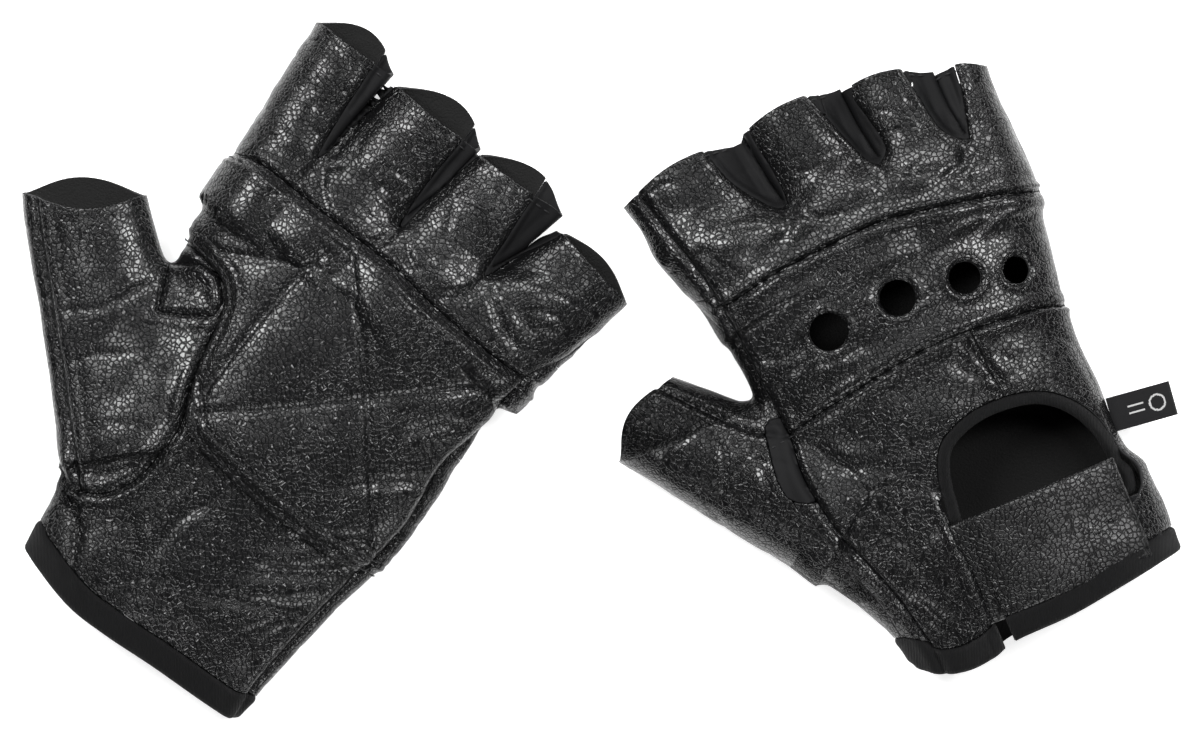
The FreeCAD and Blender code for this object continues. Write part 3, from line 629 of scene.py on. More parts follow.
    def sew(self, name, body=None):
        """Make one mesh of all the stitches laid so far."""
        points, quads = [], []
        rings, around, thick = 5, 6, STITCH_RADIUS
        for a, b, normal in self.stitches:
            along = b - a
            length = np.linalg.norm(along)
            along = along / length
            side = np.cross(along, normal)
            start = len(points)
            for i in range(rings):
                t = i / (rings - 1)
                radius = thick * (0.45 + 0.55 * math.sin(math.pi * t) ** 0.5)
                centre = a + along * length * t - normal * (0.35 * (2 * t - 1) ** 2)
                for j in range(around):
                    angle = 2 * math.pi * j / around
                    points.append(centre + radius * (math.cos(angle) * side
                                                     + math.sin(angle) * normal))
            for i in range(rings - 1):
                for j in range(around):
                    n = (j + 1) % around
                    quads.append([start + i * around + j, start + i * around + n,
                                  start + (i + 1) * around + n, start + (i + 1) * around + j])
            for first in (start + around - 1, start + (rings - 1) * around):
                order = range(around) if first != start + around - 1 else range(0, -around, -1)
                cap = [first + k for k in order]
                quads += [[cap[0], cap[1], cap[2], cap[3]], [cap[0], cap[3], cap[4], cap[5]]]
        piece = make_object(name, self.world(np.array(points)), np.array(quads),
                            np.zeros((0, 3), int), [THREAD])
        self.stitches = []
        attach(piece, body or f"{self.side}_glove")
        return piece


# ---- the left glove, palm up --------------------------------------------------------------------

def build_left():
    fingers = [
        Tube((-46.6, 40), (-43.0, 93.0), (13.4, 14.8), (11.5, 11.0), (14.0, 13.2), -6.4, (0, 7.5)),
        Tube((-25.8, 40), (-11.2, 86.6), (15.4, 17.2), (11.8, 11.0), (14.4, 13.2), -9.0, (0, 8.5)),
        Tube((3.0, 36), (19.4, 81.8), (16.4, 16.4), (11.8, 11.0), (14.4, 13.2), -5.5, (0, 7)),
        Tube((37.0, 37), (50.8, 71.2), (18.6, 15.4), (11.5, 10.5), (14.0, 12.8), -17.6, (0, 4.2)),
    ]
    thumb = Tube((-48.6, -37.9), (-93.4, 15.3), (21.0, 18.8), (10.8, 10.5), (13.4, 12.2), 28.4,
                 (-4.6, 5.4))
    form = Form(
        left=[(-56.5, -115), (-56.5, -97), (-57, -75), (-58, -40), (-58, -10), (-58, 10),
              (-59, 22), (-57, 32), (-53, 60), (-54, 80)],
        right=[(20, -115), (24.4, -97), (26, -91), (29.5, -74), (34.6, -54), (39.6, -38),
               (41.5, -25), (42.6, -12), (43.6, 3), (46, 18), (48.0, 28), (50, 36), (53, 48),
               (56, 58), (58, 80)],
        tall=[(-115, 10.0), (-90, 10.4), (-48, 11.6), (-25, 13.0), (25, 13.3), (50, 12.6),
              (90, 12)],
        middle=[(-115, 12.6), (-90, 13.0), (0, 13.6), (100, 13.4)],
        crotch=[(-75, 72), (-60, 70), (-36, 59), (-5, 53.5), (24.5, 53), (45, 60), (75, 62)],
        gaps=[[(-35.6, 62.5), (-33.5, 75), (-27.3, 104)], [(-4.8, 57.5), (0.5, 70), (7.5, 100)],
              [(25.0, 56.5), (30.5, 66), (40, 92)]],
        fingers=fingers, thumb=thumb)
    g = Glove("left", (-81.461, -6.399, -29.3), form, (-128, -116, -3), (78, 116, 32))
    P = g.P

    side_seam = [(23, -112), (24.2, -91), (27.5, -72), (33, -50), (38.9, -26), (39.8, -4),
                 (42.4, 6), (45.9, 16), (46.8, 23), (50.5, 33), (57, 42), (61, 52), (66, 66),
                 (72, 82)]
    finger_seam = [(-75, 47.5), (-61, 48.2), (-52, 49.3), (-40, 47.8), (-29, 45.9), (-16, 44),
                   (0, 41.6), (17, 37.1), (40, 32.8), (55, 31.4), (75, 30)]
    thumb_edge = [(-75, 16), (-62.5, 17.8), (-53.7, 16.4), (-44.6, 13.4), (-40.2, 8.3),
                  (-38.6, 1.5), (-37.6, -11), (-35.6, -22), (-33.2, -31), (-34.4, -42),
                  (-37.4, -52), (-42.3, -58.8), (-47.5, -62), (-53.8, -62.9), (-60, -59.5),
                  (-72, -50)]
    thumb_ring = [(-66, 21)] + thumb_edge[1:] + [(-125, -10), (-125, 30), (-95, 48), (-72, 44)]
    thumb_outer = [(-46, -68.5), (-51.8, -61), (-69, -39), (-87, -16.3), (-104, 5.6), (-118, 24)]
    patch_low = [(-40, -20), (-34.5, -26.5), (-29, -32.5), (-20, -35.5), (-5.5, -39.2),
                 (10, -41.8), (26, -43.4), (48, -43.6)]
    cuff_line = [(-75, -78), (-60, -84.5), (-56.8, -86.9), (-37.5, -94.6), (-22.6, -97),
                 (-5, -98.3), (20, -101), (25, -100), (40, -98)]

    top = g.top
    palm = np.minimum(top, g.line(side_seam))
    above = g.line(finger_seam)
    thumb_zone = g.zone(thumb_ring)
    wrap = g.line(thumb_outer)
    gusset = g.zone([(-60.5, 9.5), (-52, 14.2), (-45.4, 14.0), (-40.4, 7.4), (-41.0, 2.6),
                     (-48.5, -1.2), (-56.2, -4.0), (-58.2, 3)], smooth=False)
    on_patch = g.line(patch_low)
    cuff = g.line(cuff_line)
    wedges = np.max([g.zone(ring) for ring in (
        [(-37.0, 60.8), (-36.6, 75), (-35.4, 92), (-34, 106), (-25, 106), (-27.6, 90),
         (-32, 74), (-35.3, 61)],
        [(-5.6, 55.2), (-3.8, 70), (-1.6, 84), (1, 102), (10, 102), (5.0, 84), (-0.4, 68),
         (-4.2, 55)],
        [(23.8, 54.2), (24.6, 66), (25.5, 80), (28, 100), (46, 96), (38.2, 76), (30.5, 64),
         (25.4, 54)])], axis=0)

    # Seams pressed into the palm side.
    face = ease(top, -1, 3)
    g.seam(above, face, 0.6, 0.25, 0.15)
    g.seam(thumb_zone, face * ease(-on_patch, -8, 0), 1.0, 0.7)
    g.seam(np.minimum(thumb_zone, 9), face * ease(P[:, 1], -34, -26), 0.7, 0.3)
    g.seam(wrap, face * ease(thumb_zone, -3, 1), 1.2, 0.6, -0.3)
    g.seam(gusset, face, 0.9, 0.3)
    g.seam(g.line(side_seam), face * ease(-P[:, 1], -60, -30), 1.0, 0.4)
    g.seam(wedges, 1.0, 0.5, 0.2)
    g.height -= 1.3 * ease(wedges, 0.2, 2.5)

    # Quilted lines of the patch, and the two rows along its edges.
    quilt_face = face * ease(-above, 1, 4) * ease(on_patch, 1, 5) * ease(-thumb_zone, 2, 5)
    for points in QUILTING:
        gap, _, _ = nearest(P, rounded(points))
        g.height += quilt_face * (0.75 * (1 - bell(gap, 6)) * 0.6 - 0.75 * bell(gap, 1.1))
    rows = face * ease(-above, 2, 4)
    for gap in (on_patch - 3.0, on_patch - 6.0):
        g.height -= 0.35 * bell(gap, 0.8) * rows * ease(-thumb_zone, -1, 2)
    for gap in (-thumb_zone - 2.6, -thumb_zone - 5.4):
        g.height -= 0.35 * bell(gap, 0.8) * rows * ease(on_patch, -2, 2)
    for gap in (-above - 2.4, -above - 4.6):
        g.height -= 0.3 * bell(gap, 0.8) * face

    # Wrinkles: across the fingers, round the crotches, along the side and over the cuff.
    fingers_on = ease(above, 0, 6)
    g.height -= 0.3 * fingers_on * crease(P, (13, 5.5, 14), 3.0)
    g.height += 0.3 * fingers_on * noise(P, (12, 5, 12), 21.0)
    g.height += 0.7 * noise(P, (26, 24, 24), 5.0) * (0.4 + 0.6 * (1 - face))
    side_on = ease(-g.line(side_seam), -34, 0)
    tilt = P @ np.array([[0.8, -0.6, 0], [0.6, 0.8, 0], [0, 0, 1]])
    g.height -= 0.4 * side_on * face * (1 - fingers_on) * crease(tilt, (20, 7, 16), 9.0)
    low_on = ease(-on_patch, 0, 14)
    g.height -= 0.2 * low_on * crease(tilt, (22, 9, 16), 14.0)
    g.height += 0.3 * (1 - fingers_on) * noise(P, (13, 11, 12), 40.0)
    thumb_on = ease(thumb_zone, 2, 10)
    g.height -= 0.15 * thumb_on * crease(tilt, (9, 20, 16), 31.0)
    for points, width, depth in LEFT_FOLDS:
        g.fold(points, width, depth)
    # The layers of the tab dent the underside, so that the glove still lies flat.
    under_tab = np.min([P[:, 0] + 32, 27 - P[:, 0], P[:, 1] + 92, -44 - P[:, 1]], axis=0)
    g.height -= TAB_DENT * ease(under_tab, 0, 6) * ease(-top, 0, 4)
    g.displace()

    outside_wedges = -wedges
    back = -palm
    g.panel("finger_front", [palm, above, outside_wedges])
    g.panel("palm_panel", [palm, -above, -thumb_zone, cuff - 8.5])
    g.panel("thumb_front", [top, -wrap, thumb_zone, -gusset])
    g.panel("thumb_gusset", [top, gusset])
    patch = [palm - 0.8, -above - 0.3, -thumb_zone - 0.3, on_patch]
    g.panel("palm_patch", patch, lift=2.1, thick=1.1, soft_edge=1.6,
            crown=-1.9 * (1 - np.minimum(ease(top, 1, 9), ease(P[:, 0] + 60, 0, 12))))
    pad = [field - 2 for field in patch] + [top - 9, P[:, 0] + 47]
    piece = g.panel("palm_pad", pad, (FOAM, FOAM, FOAM), "padding", 0.95, 0.8)

    # The back, which the glove lies on.
    knuckle_line = g.line([(-90, 41), (0, 41), (90, 38)])
    back_line = g.line([(-90, 1), (90, 1)])
    thumb_back = g.zone([(-57, 14), (-56, -3), (-56, -30), (-52, -61), (-44, -72), (-80, -60),
                         (-130, -10), (-120, 40), (-80, 40)], smooth=False)
    thumb_skin = -np.minimum(top, -wrap)
    vent = g.zone(vent_outline(2.0, -36.0, 23.5))
    slit = 1.6 - np.abs(P[:, 0] + 19.4)
    slit = np.minimum(slit, -45 - P[:, 1])
    holes = np.minimum(knuckle_holes(P, LEFT_HOLES), -top)
    g.panel("finger_back", [back, knuckle_line, outside_wedges])
    g.panel("knuckle_band", [back, -knuckle_line, back_line, -thumb_back, -holes])
    beside = -48 - P[:, 0]
    lower = [back, -back_line, cuff - 8.5, -vent - 4.2, -slit]
    split = np.where(P[:, 1] > -36, P[:, 0] - 7, P[:, 0] + 19.4)
    g.panel("back_thumb_panel", lower + [-split, -beside, -thumb_back])
    g.panel("back_little_panel", lower + [split])
    g.panel("thumb_back", [thumb_skin, thumb_back])
    g.panel("side_gusset", [back, beside, -thumb_back, P[:, 1] + 22, -back_line],
            (STRETCH, SUEDE, STRETCH), "stretch_fabric")
    g.panel("side_strip", [back, beside, -thumb_back, -22 - P[:, 1], cuff - 8.5])
    fourchettes(g, wedges, (-20, 12))
    tape = (TAPE, TAPE, TAPE)
    g.panel("vent_binding", [-top, -vent, vent + 4.2, -slit], tape, "edge_tape", 0.2, 1.6, 1.2)
    under_slit = np.minimum(slit, -top)
    g.panel("cuff_binding", [cuff, 8.5 - cuff, -under_slit], tape, "edge_tape", 0.6, 2.3, 1.6)

    # Stitching.
    rim_rows(g, 2.0)
    g.stitch_row(finger_seam, -2.4, 0.9)
    g.stitch_row(patch_low[1:], 3.0, 2.1)
    g.stitch_row(patch_low[1:], 6.0, 2.1)
    g.stitch_row(thumb_edge[1:9], 2.6, 2.1)
    g.stitch_row(thumb_edge[1:9], 5.4, 2.1)
    g.stitch_row(thumb_edge[8:15], 2.4, 0.0)
    for points in QUILTING:
        g.stitch_row(points, 0.0, 2.0)
    g.sew("left_stitches")
    return g


def knuckle_holes(P, holes):
    """Signed distance to the round knuckle holes, positive inside them."""
    return np.max([radius - np.hypot(P[:, 0] - x, P[:, 1] - y) for x, y, radius in holes], axis=0)


def vent_outline(x, y, half):
    """The vent: a wide arch whose lower side runs under the tab."""
    arch = [(-0.97, -20), (-1.0, -2), (-0.88, 9), (-0.66, 13.5), (-0.25, 16), (0.27, 15),
            (0.62, 11), (0.88, 3.5), (1.0, -6), (0.98, -20), (0, -21)]
    return [(x + half * across, y + along) for across, along in arch]


def fourchettes(g, wedges, splits):
    """The fabric side walls, one strip between each two fingers."""
    x = g.P[:, 0] - 0.25 * (g.P[:, 1] - 60)
    bands = [splits[0] - x, np.minimum(x - splits[0], splits[1] - x), x - splits[1]]
    for number, band in enumerate(bands, 1):
        g.panel(f"fourchette_{number}", [wedges, band, -g.rims - 0.4],
                (STRETCH, STRETCH, STRETCH), "stretch_fabric", -0.15, 1.0)


def rim_rows(g, inset):
    """A row of stitches just inside the open end of each finger."""
    for tube in g.form.fingers + [g.form.thumb]:
        along = np.array([tube.rim[1], -tube.rim[0]])
        across = np.linspace(-0.78, 0.78, 9)[:, None] * tube.half[1]
        arch = tube.arch[0] * (1 - (across / tube.half[1]) ** 2)
        g.stitch_row(tube.tip + across * along + (arch - inset) * tube.rim)


QUILTING = (
    [(-14.4, 40.4), (1.6, 18.1), (11.4, 3.6), (28, -23.5), (34.9, -35.1)],
    [(-31.3, -25.8), (-8.3, -10.9), (11.5, 3.4), (24, 12.4), (43.7, 26.3)],
    [(-20.9, 34.7), (-26.5, 14), (-32.4, -23.7)],
    [(-47.4, 20.2), (-20.5, 30.4)],
)
LEFT_HOLES = ((-29, 21.3, 5.6), (-6, 23, 5.4), (16, 21.1, 4.9), (34, 17, 4.2))
# Listed creases: route, width and depth.
LEFT_FOLDS = (
    ([(-36, 58), (-38, 50), (-44, 40)], 1.6, 1.2),
    ([(-34, 58), (-30, 50), (-24, 46)], 1.5, 1.0),
    ([(-5, 53), (-8, 46), (-14, 40)], 1.6, 1.2),
    ([(-4, 53), (2, 46), (8, 41)], 1.5, 0.9),
    ([(25, 52), (22, 45), (15, 40)], 1.6, 1.2),
    ([(26, 52), (34, 44), (44, 38)], 1.5, 1.1),
    ([(-60, 5), (-66, -4), (-70, -10)], 1.5, 0.9),
    ([(38, -30), (24, -38), (5, -50)], 2.2, 1.1),
    ([(36, -42), (20, -52), (0, -62)], 2.4, 1.2),
    ([(30, -58), (14, -66), (-10, -74)], 2.2, 0.9),
    ([(-50, -66), (-44, -76), (-40, -88)], 2.0, 0.9),
    ([(-36, -60), (-26, -72), (-20, -88)], 2.2, 0.9),
    ([(43, 12), (34, 8), (22, -4)], 1.8, 0.9),
    ([(41, -8), (30, -14), (14, -26)], 1.9, 1.0),
    ([(-12, -42), (-20, -56), (-22, -74)], 2.2, 0.8),
)


# ---- the right glove, back up -------------------------------------------------------------------

# Knuckle holes: X, Y and radius.
RIGHT_HOLES = ((-14.5, 21.5, 5.6), (8.6, 22.9, 5.3), (29.5, 20.7, 4.7), (44.8, 16.9, 4.0))


def build_right():
    fingers = [
        Tube((-27.0, 45), (-35.6, 82.0), (18.5, 20.4), (13.0, 12.0), (19.5, 17.0), 6.4, (4.0, -3)),
        Tube((6.5, 45), (0.2, 86.8), (15.4, 16.8), (13.0, 11.8), (20.5, 18.5), 3.0, (2.8, -3)),
        Tube((32.5, 45), (31.6, 83.8), (13.6, 15.0), (13.0, 11.8), (20.5, 18.5), -11.0, (3.0, -3)),
        Tube((49.0, 42), (51.8, 78.4), (10.6, 9.4), (12.5, 9.4), (19.0, 17.0), -10.0, (2.4, -3)),
    ]
    thumb = Tube((-36, -25.7), (-74.8, 18.2), (20.8, 15.0), (15.0, 12.2), (18.0, 15.5), 35.0,
                 (5.4, -3))
    form = Form(
        left=[(-28, -110), (-29, -90), (-30, -76), (-33.6, -66), (-37.5, -58), (-42.5, -50),
              (-45.5, -42), (-43, -30), (-38.5, -15), (-37.5, -4), (-39, 5), (-41, 14), (-43.2, 30),
              (-45.0, 42), (-49.4, 51), (-54, 66), (-56, 80)],
        right=[(56, -110), (55.8, -79), (56.6, -69), (56.4, -57), (55.8, -47), (54.6, -39),
               (54.4, -24), (54.3, -13), (55.0, 0), (56.9, 16), (58.2, 29), (58.2, 40), (58, 48),
               (57, 56), (56.6, 64), (57, 80)],
        tall=[(-110, 13.5), (-85, 14.0), (-50, 15.6), (-15, 17.2), (25, 17.4), (55, 16.4),
              (90, 14)],
        middle=[(-110, 19.5), (0, 19.9), (40, 19.9), (90, 18)],
        crotch=[(-75, 66), (-45, 66), (-12, 60.5), (19, 62), (46, 58), (75, 62)],
        gaps=[[(-11.2, 63.0), (-13.0, 73), (-17, 104)], [(20.0, 64.0), (18.2, 76), (16.4, 104)],
              [(46.4, 60.5), (45.2, 70), (44.6, 104)]],
        fingers=fingers, thumb=thumb, power=2.4)
    g = Glove("right", (89.539, -3.399, 22.7), form, (-96, -104, -3), (72, 112, 46))
    P = g.P
    top = g.top

    seam_1 = [(-70, 39), (-39.6, 40.6), (-23.4, 43.6), (-5.6, 45.2), (12.2, 46.0), (28.5, 43.6),
              (47.3, 40), (59.1, 36.4), (80, 32)]
    seam_2 = [(-70, -6), (-38.3, -2.2), (-25.7, 0.2), (-2.6, 4), (13.6, 5.9), (29.8, 5.3),
              (48.9, 3.3), (54.9, 1.4), (80, -3)]
    thumb_side = [(-21.5, -100), (-22, -80.6), (-25.5, -62.5), (-29.7, -49.3), (-34.8, -35),
                  (-37.6, -21.2), (-38.0, -12.8), (-37.0, -3), (-38.6, 11), (-39.9, 30),
                  (-42.4, 48), (-47, 66), (-52, 84)]
    groove = [(-30, -9), (-43, 0.4), (-48.7, 4.8), (-55.6, 12.5), (-65.9, 24.3), (-76, 36)]
    cuff_line = [(-60, -78), (-33, -79), (-28.3, -82.5), (-22.5, -86.3), (-14.2, -88.2),
                 (-5.5, -87.1), (2.2, -84.9), (20.4, -84.3), (40, -81.8), (51.4, -80.2),
                 (75, -77)]
    above = g.line(seam_1)
    below = -g.line(seam_2)
    back = np.minimum(top, -g.line(thumb_side))
    cuff = g.line(cuff_line)
    vent = g.zone(vent_outline(25.2, -36.4, 23.4))
    wedges = np.max([g.zone(ring) for ring in (
        [(-11.4, 61.6), (-14.5, 63), (-22.6, 72.4), (-26.7, 83), (-30, 100), (-14, 100),
         (-12.9, 84), (-11.3, 73), (-10.4, 63.8)],
        [(19.6, 62.4), (16.9, 64.5), (12, 76), (7.9, 87), (2, 104), (20, 108), (20.4, 88),
         (19.6, 83), (21.2, 75), (22.6, 66)],
        [(46.2, 58.6), (40.4, 64.2), (38.4, 74), (36.7, 84), (35, 104), (52, 104), (51.2, 78),
         (49.4, 68), (47.6, 61)])], axis=0)
    outside_wedges = -wedges
    side = g.line(thumb_side)

    face = ease(top, -1, 3)
    g.seam(above, face * ease(-side, -3, 0), 0.9, 0.5, 0.9)
    g.seam(below, face * ease(-side, -3, 0), 0.9, 0.4, 0.7)
    g.seam(side, face, 1.1, 0.5)
    g.seam(wedges, 1.0, 0.7, 0.1, -0.2)
    g.height -= 1.6 * ease(wedges, 0.2, 3.0)
    beads = bell(wedges + 1.3, 1.1) * face
    rolled = ((P[:, 0] > 0) & (P[:, 0] < 19)) | ((P[:, 0] > 30) & (P[:, 0] < 45))
    g.height += 0.9 * beads * rolled
    short = g.line([(23.4, 5.5), (24.8, -2), (27.5, -13)])
    g.seam(short, face * ease(P[:, 1], -16, -12) * ease(-P[:, 1], -6, -3), 0.9, 0.35)
    g.seam(g.line(groove), face * ease(side, -1, 2) * ease(P[:, 1], -4, 2), 1.0, 0.4)

    # The thumb panel's lower right edge is turned under into a bead and lies over the tab.
    over_tab = ease(P[:, 0], -15, -4) * ease(-P[:, 1], 44, 52) * face
    g.height += 3.0 * over_tab
    edge = P[:, 0] + 3.0 + 0.0012 * (P[:, 1] + 60) ** 2
    g.height += 0.8 * bell(edge + 1.5, 1.3) * ease(-P[:, 1], 30, 40) * face

    fingers_on = ease(above, 0, 6)
    g.height -= 0.3 * fingers_on * crease(P, (14, 6, 14), 4.0) * face
    g.height += 0.35 * fingers_on * noise(P, (14, 6, 12), 21.0)
    band_on = ease(-above, 0, 5) * ease(-below, 0, 5)
    g.height -= 0.2 * band_on * crease(P, (20, 6, 16), 17.0) * face
    g.height += 0.3 * band_on * noise(P, (24, 7, 12), 23.0)
    g.height += 0.7 * noise(P, (26, 24, 24), 6.0) * (1 - 0.5 * face)
    low_on = ease(below, 0, 8) * ease(-side, 0, 4)
    tilt = P @ np.array([[0.55, -0.84, 0], [0.84, 0.55, 0], [0, 0, 1]])
    g.height -= 0.3 * low_on * crease(tilt, (9, 24, 16), 9.0) * face
    g.height += 0.35 * low_on * noise(tilt, (10, 18, 12), 41.0)
    thumb_on = ease(side, 0, 5) * ease(-P[:, 1], -30, -10)
    g.height -= 0.3 * thumb_on * crease(tilt, (9, 18, 16), 33.0)
    g.height += 0.25 * thumb_on * noise(tilt, (8, 14, 12), 45.0)
    for points, width, depth in RIGHT_FOLDS:
        g.fold(points, width, depth)
    for x, y, radius in RIGHT_HOLES:
        reach = np.hypot(P[:, 0] - x, P[:, 1] - y) - radius
        g.height += (0.45 * bell(reach - 1.2, 1.2) - 0.8 * bell(reach, 0.9)) * face
    g.displace()

    holes = np.minimum(knuckle_holes(P, RIGHT_HOLES), top)
    slit = np.minimum(1.5 - np.abs(P[:, 0] + 0.2), -52 - P[:, 1])
    slit = np.minimum(slit, top)
    g.panel("finger_back", [back, above, outside_wedges])
    g.panel("knuckle_band", [back, -above, -below, -holes])
    bead_edge = -2.4 - P[:, 0] - 0.0016 * (P[:, 1] + 62) ** 2
    lower = [back, below, cuff - 8.0, -vent - 4.0, -slit]
    split = np.where(P[:, 1] > -40, P[:, 0] - 25.4 - 0.09 * (-4 - P[:, 1]), P[:, 0] - 0.2)
    thumb_panel = lower + [-split, np.where(P[:, 1] > -38, 9.0, bead_edge)]
    g.panel("back_thumb_panel", thumb_panel)
    g.panel("back_little_panel", lower + [split])
    tape = (TAPE, TAPE, TAPE)
    g.panel("vent_binding", [top, -vent, vent + 4.0, P[:, 1] + 58], tape, "edge_tape",
            0.5, 2.1, 1.6, crown=-2.6 * ease(-P[:, 1], 43.5, 48))
    g.panel("cuff_binding", [cuff, 8.0 - cuff, -slit], tape, "edge_tape", 0.7, 2.4, 1.7)

    # The thumb, seen from the back, and the insert and strip beside it.
    gusset = g.zone([(-42, 3), (-36, 1), (-36, -22), (-43.5, -21), (-45.4, -14), (-44, -4)])
    strip = g.zone([(-43.6, -20), (-36, -20.5), (-27, -50), (-20, -78), (-20, -96), (-28, -96),
                    (-30, -66), (-34.0, -52), (-40, -33)])
    thumb_plan = g.zone([(-46.5, 42), (-30, 9), (-30, -30), (-33, -50), (-40.6, -51.3),
                         (-44.9, -43.6), (-46.2, -35), (-60, -45), (-110, -10), (-100, 50)],
                        smooth=False)
    not_back = np.minimum(top, side)
    g.panel("thumb_back", [not_back, thumb_plan, -g.line(groove), -gusset, -strip])
    g.panel("side_gusset", [not_back, gusset], (STRETCH, SUEDE, STRETCH), "stretch_fabric")
    g.panel("side_strip", [not_back, strip, -gusset, cuff - 8.0])
    palm = -back
    thumb_shown = np.minimum(np.minimum(-g.line(groove), top), side)
    thumb_skin = np.minimum(palm, -thumb_shown)
    thumb_front_plan = g.zone([(-46.5, 42), (-44, 14), (-24, 9), (-13, -10), (-12, -38),
                               (-20, -54), (-34, -58), (-60, -45), (-110, -10), (-100, 50)])
    quirk = g.zone([(-44.5, 3), (-40, 9), (-33, 10.5), (-28, 4), (-30, -4), (-38, -5)])
    low = -top
    front_line = g.line([(-90, 49.4), (0, 40), (90, 30.6)])
    patch_low = g.line([(-90, -8.4), (-12, -25), (90, -46.7)])
    g.panel("finger_front", [palm, front_line, outside_wedges])
    palm_top = np.maximum(low, np.maximum(P[:, 1] - 9, np.minimum(-thumb_plan, -strip)))
    g.panel("palm_panel", [palm, palm_top, -front_line, -np.minimum(thumb_front_plan, low),
                           cuff - 8.0, -np.minimum(strip, top)])
    g.panel("thumb_front", [thumb_skin, thumb_front_plan, -np.minimum(quirk, low),
                            -np.minimum(gusset, top), -np.minimum(strip, top)])
    g.panel("thumb_gusset", [low, quirk])
    patch = [low - 0.8, -front_line, -thumb_front_plan, patch_low, 50 - P[:, 0], P[:, 0] + 38]
    g.panel("palm_patch", patch, lift=2.1, thick=1.1, soft_edge=1.6)
    piece = g.panel("palm_pad", [np.min(np.stack(patch), axis=0) - 2], (FOAM, FOAM, FOAM),
                    "padding", 0.95, 0.8)
    fourchettes(g, wedges, (5, 33))

    rim_rows(g, 2.2)
    for line in (seam_1, seam_2):
        g.stitch_row(line, -1.2)
    g.sew("right_stitches")
    return g


RIGHT_FOLDS = (
    ([(-40, 24), (-30, 20), (-20, 22)], 1.8, 0.9),
    ([(-36, 10), (-20, 14), (0, 13)], 2.0, 0.8),
    ([(-12, 60), (-14, 54), (-24, 50)], 1.6, 1.2),
    ([(-10, 60), (-4, 54), (4, 52)], 1.5, 1.1),
    ([(20, 62), (16, 55), (6, 53)], 1.6, 1.1),
    ([(22, 61), (28, 55), (34, 54)], 1.5, 0.9),
    ([(46, 58), (42, 52), (32, 50)], 1.6, 1.1),
    ([(-34, -6), (-26, -18), (-20, -34)], 2.2, 1.1),
    ([(-30, -14), (-16, -22), (-8, -26)], 2.0, 0.9),
    ([(-28, -40), (-18, -50), (-12, -66)], 2.2, 0.9),
    ([(-52, -24), (-48, -10), (-50, 0)], 1.8, 1.0),
    ([(-62, -12), (-57, 0), (-58, 8)], 1.6, 0.8),
    ([(-28, -58), (-20, -66), (-14, -80)], 2.0, 0.8),
)


# ---- closing tabs, hook and loop tape, label ----------------------------------------------------

def smooth_height(g, x, y, up):
    """A smooth fit to the skin's height over a rectangle of the plan."""
    xs, ys = np.meshgrid(np.linspace(*x, 14), np.linspace(*y, 14))
    found = [(a, b, g.seat(a, b, up, True)[0]) for a, b in zip(xs.ravel(), ys.ravel())]
    found = np.array([(a, b, hit[2]) for a, b, hit in found if hit is not None])
    terms = np.stack([np.ones(len(found)), *found[:, :2].T, found[:, 0] ** 2,
                      found[:, 0] * found[:, 1], found[:, 1] ** 2], axis=1)
    fit = np.linalg.lstsq(terms, found[:, 2], rcond=None)[0]
    return lambda a, b: (fit[0] + fit[1] * a + fit[2] * b + fit[3] * a ** 2 + fit[4] * a * b
                         + fit[5] * b ** 2)


def slab(g, name, x, y, low, high, materials, spacing=0.8, soft=1.0, wave=0.0):
    """A flat piece that follows height functions low and high over a rectangle of the plan."""
    columns = np.linspace(*x, int((x[1] - x[0]) / spacing) + 1)
    rows = np.linspace(*y, int((y[1] - y[0]) / spacing) + 1)
    X, Y = np.meshgrid(columns, rows, indexing="ij")
    inset = np.minimum(np.minimum(X - x[0], x[1] - X), np.minimum(Y - y[0], y[1] - Y))
    droop = soft * 0.5 * (1 - np.sqrt(1 - (1 - np.clip(inset / max(soft, 0.01), 0, 1)) ** 2))
    flat = np.stack([X.ravel(), Y.ravel(), np.zeros(X.size)], axis=1)
    lumps = wave * noise(flat, (16, 12, 10), 60.0).reshape(X.shape)
    top = high(X, Y) - droop + lumps
    bottom = low(X, Y) + 0.3 * droop + lumps
    outer = np.stack([X, Y, top], axis=-1).reshape(-1, 3)
    inner = np.stack([X, Y, bottom], axis=-1).reshape(-1, 3)
    m, n = X.shape
    cell = (np.arange(m - 1)[:, None] * n + np.arange(n - 1)).ravel()
    quads = np.stack([cell, cell + n, cell + n + 1, cell + 1], axis=1)
    return shell(name, g.world(outer), g.world(inner), quads, np.zeros((0, 3), int), materials)


def tab(g, x, y, up, hinge_x, loop_x, hook_x, dent=0.0):
    """The loop tape on the glove, and the closing tab with its hook tape over it."""
    way = 1 if up else -1
    undented = smooth_height(g, x, y, up)

    def skin(a, b):
        return undented(a, b) - way * dent
    loop = slab(g, f"{g.side}_loop_tape", loop_x, (y[0] + 2.0, y[0] + 19),
                lambda a, b: skin(a, b) + way * 0.2, lambda a, b: skin(a, b) + way * 1.3,
                (LOOP, LOOP, LOOP), soft=0.8)
    g.finish_piece(loop, ["loop_patch"], "loop_tape")
    hook = slab(g, f"{g.side}_hook_tape", hook_x, (y[0] - 0.8, y[0] + 18),
                lambda a, b: skin(a, b) + way * 1.45, lambda a, b: skin(a, b) + way * 2.1,
                (HOOK, HOOK, HOOK), soft=0.3)
    g.finish_piece(hook, ["hook_patch"], "hook_tape", f"{g.side}_tab")

    def tuck(a):
        return 2.0 * (1 - ease(a, hinge_x - 3, hinge_x + 6))
    strap = slab(g, f"{g.side}_strap_look", (hinge_x - 6, x[1]), y,
                 lambda a, b: skin(a, b) + way * (2.2 - tuck(a)),
                 lambda a, b: skin(a, b) + way * (3.5 - tuck(a)),
                 (LEATHER_SMOOTH, SUEDE, RAW), 0.7, 1.1, 0.25)
    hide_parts(f"{g.side}_strap")
    return strap


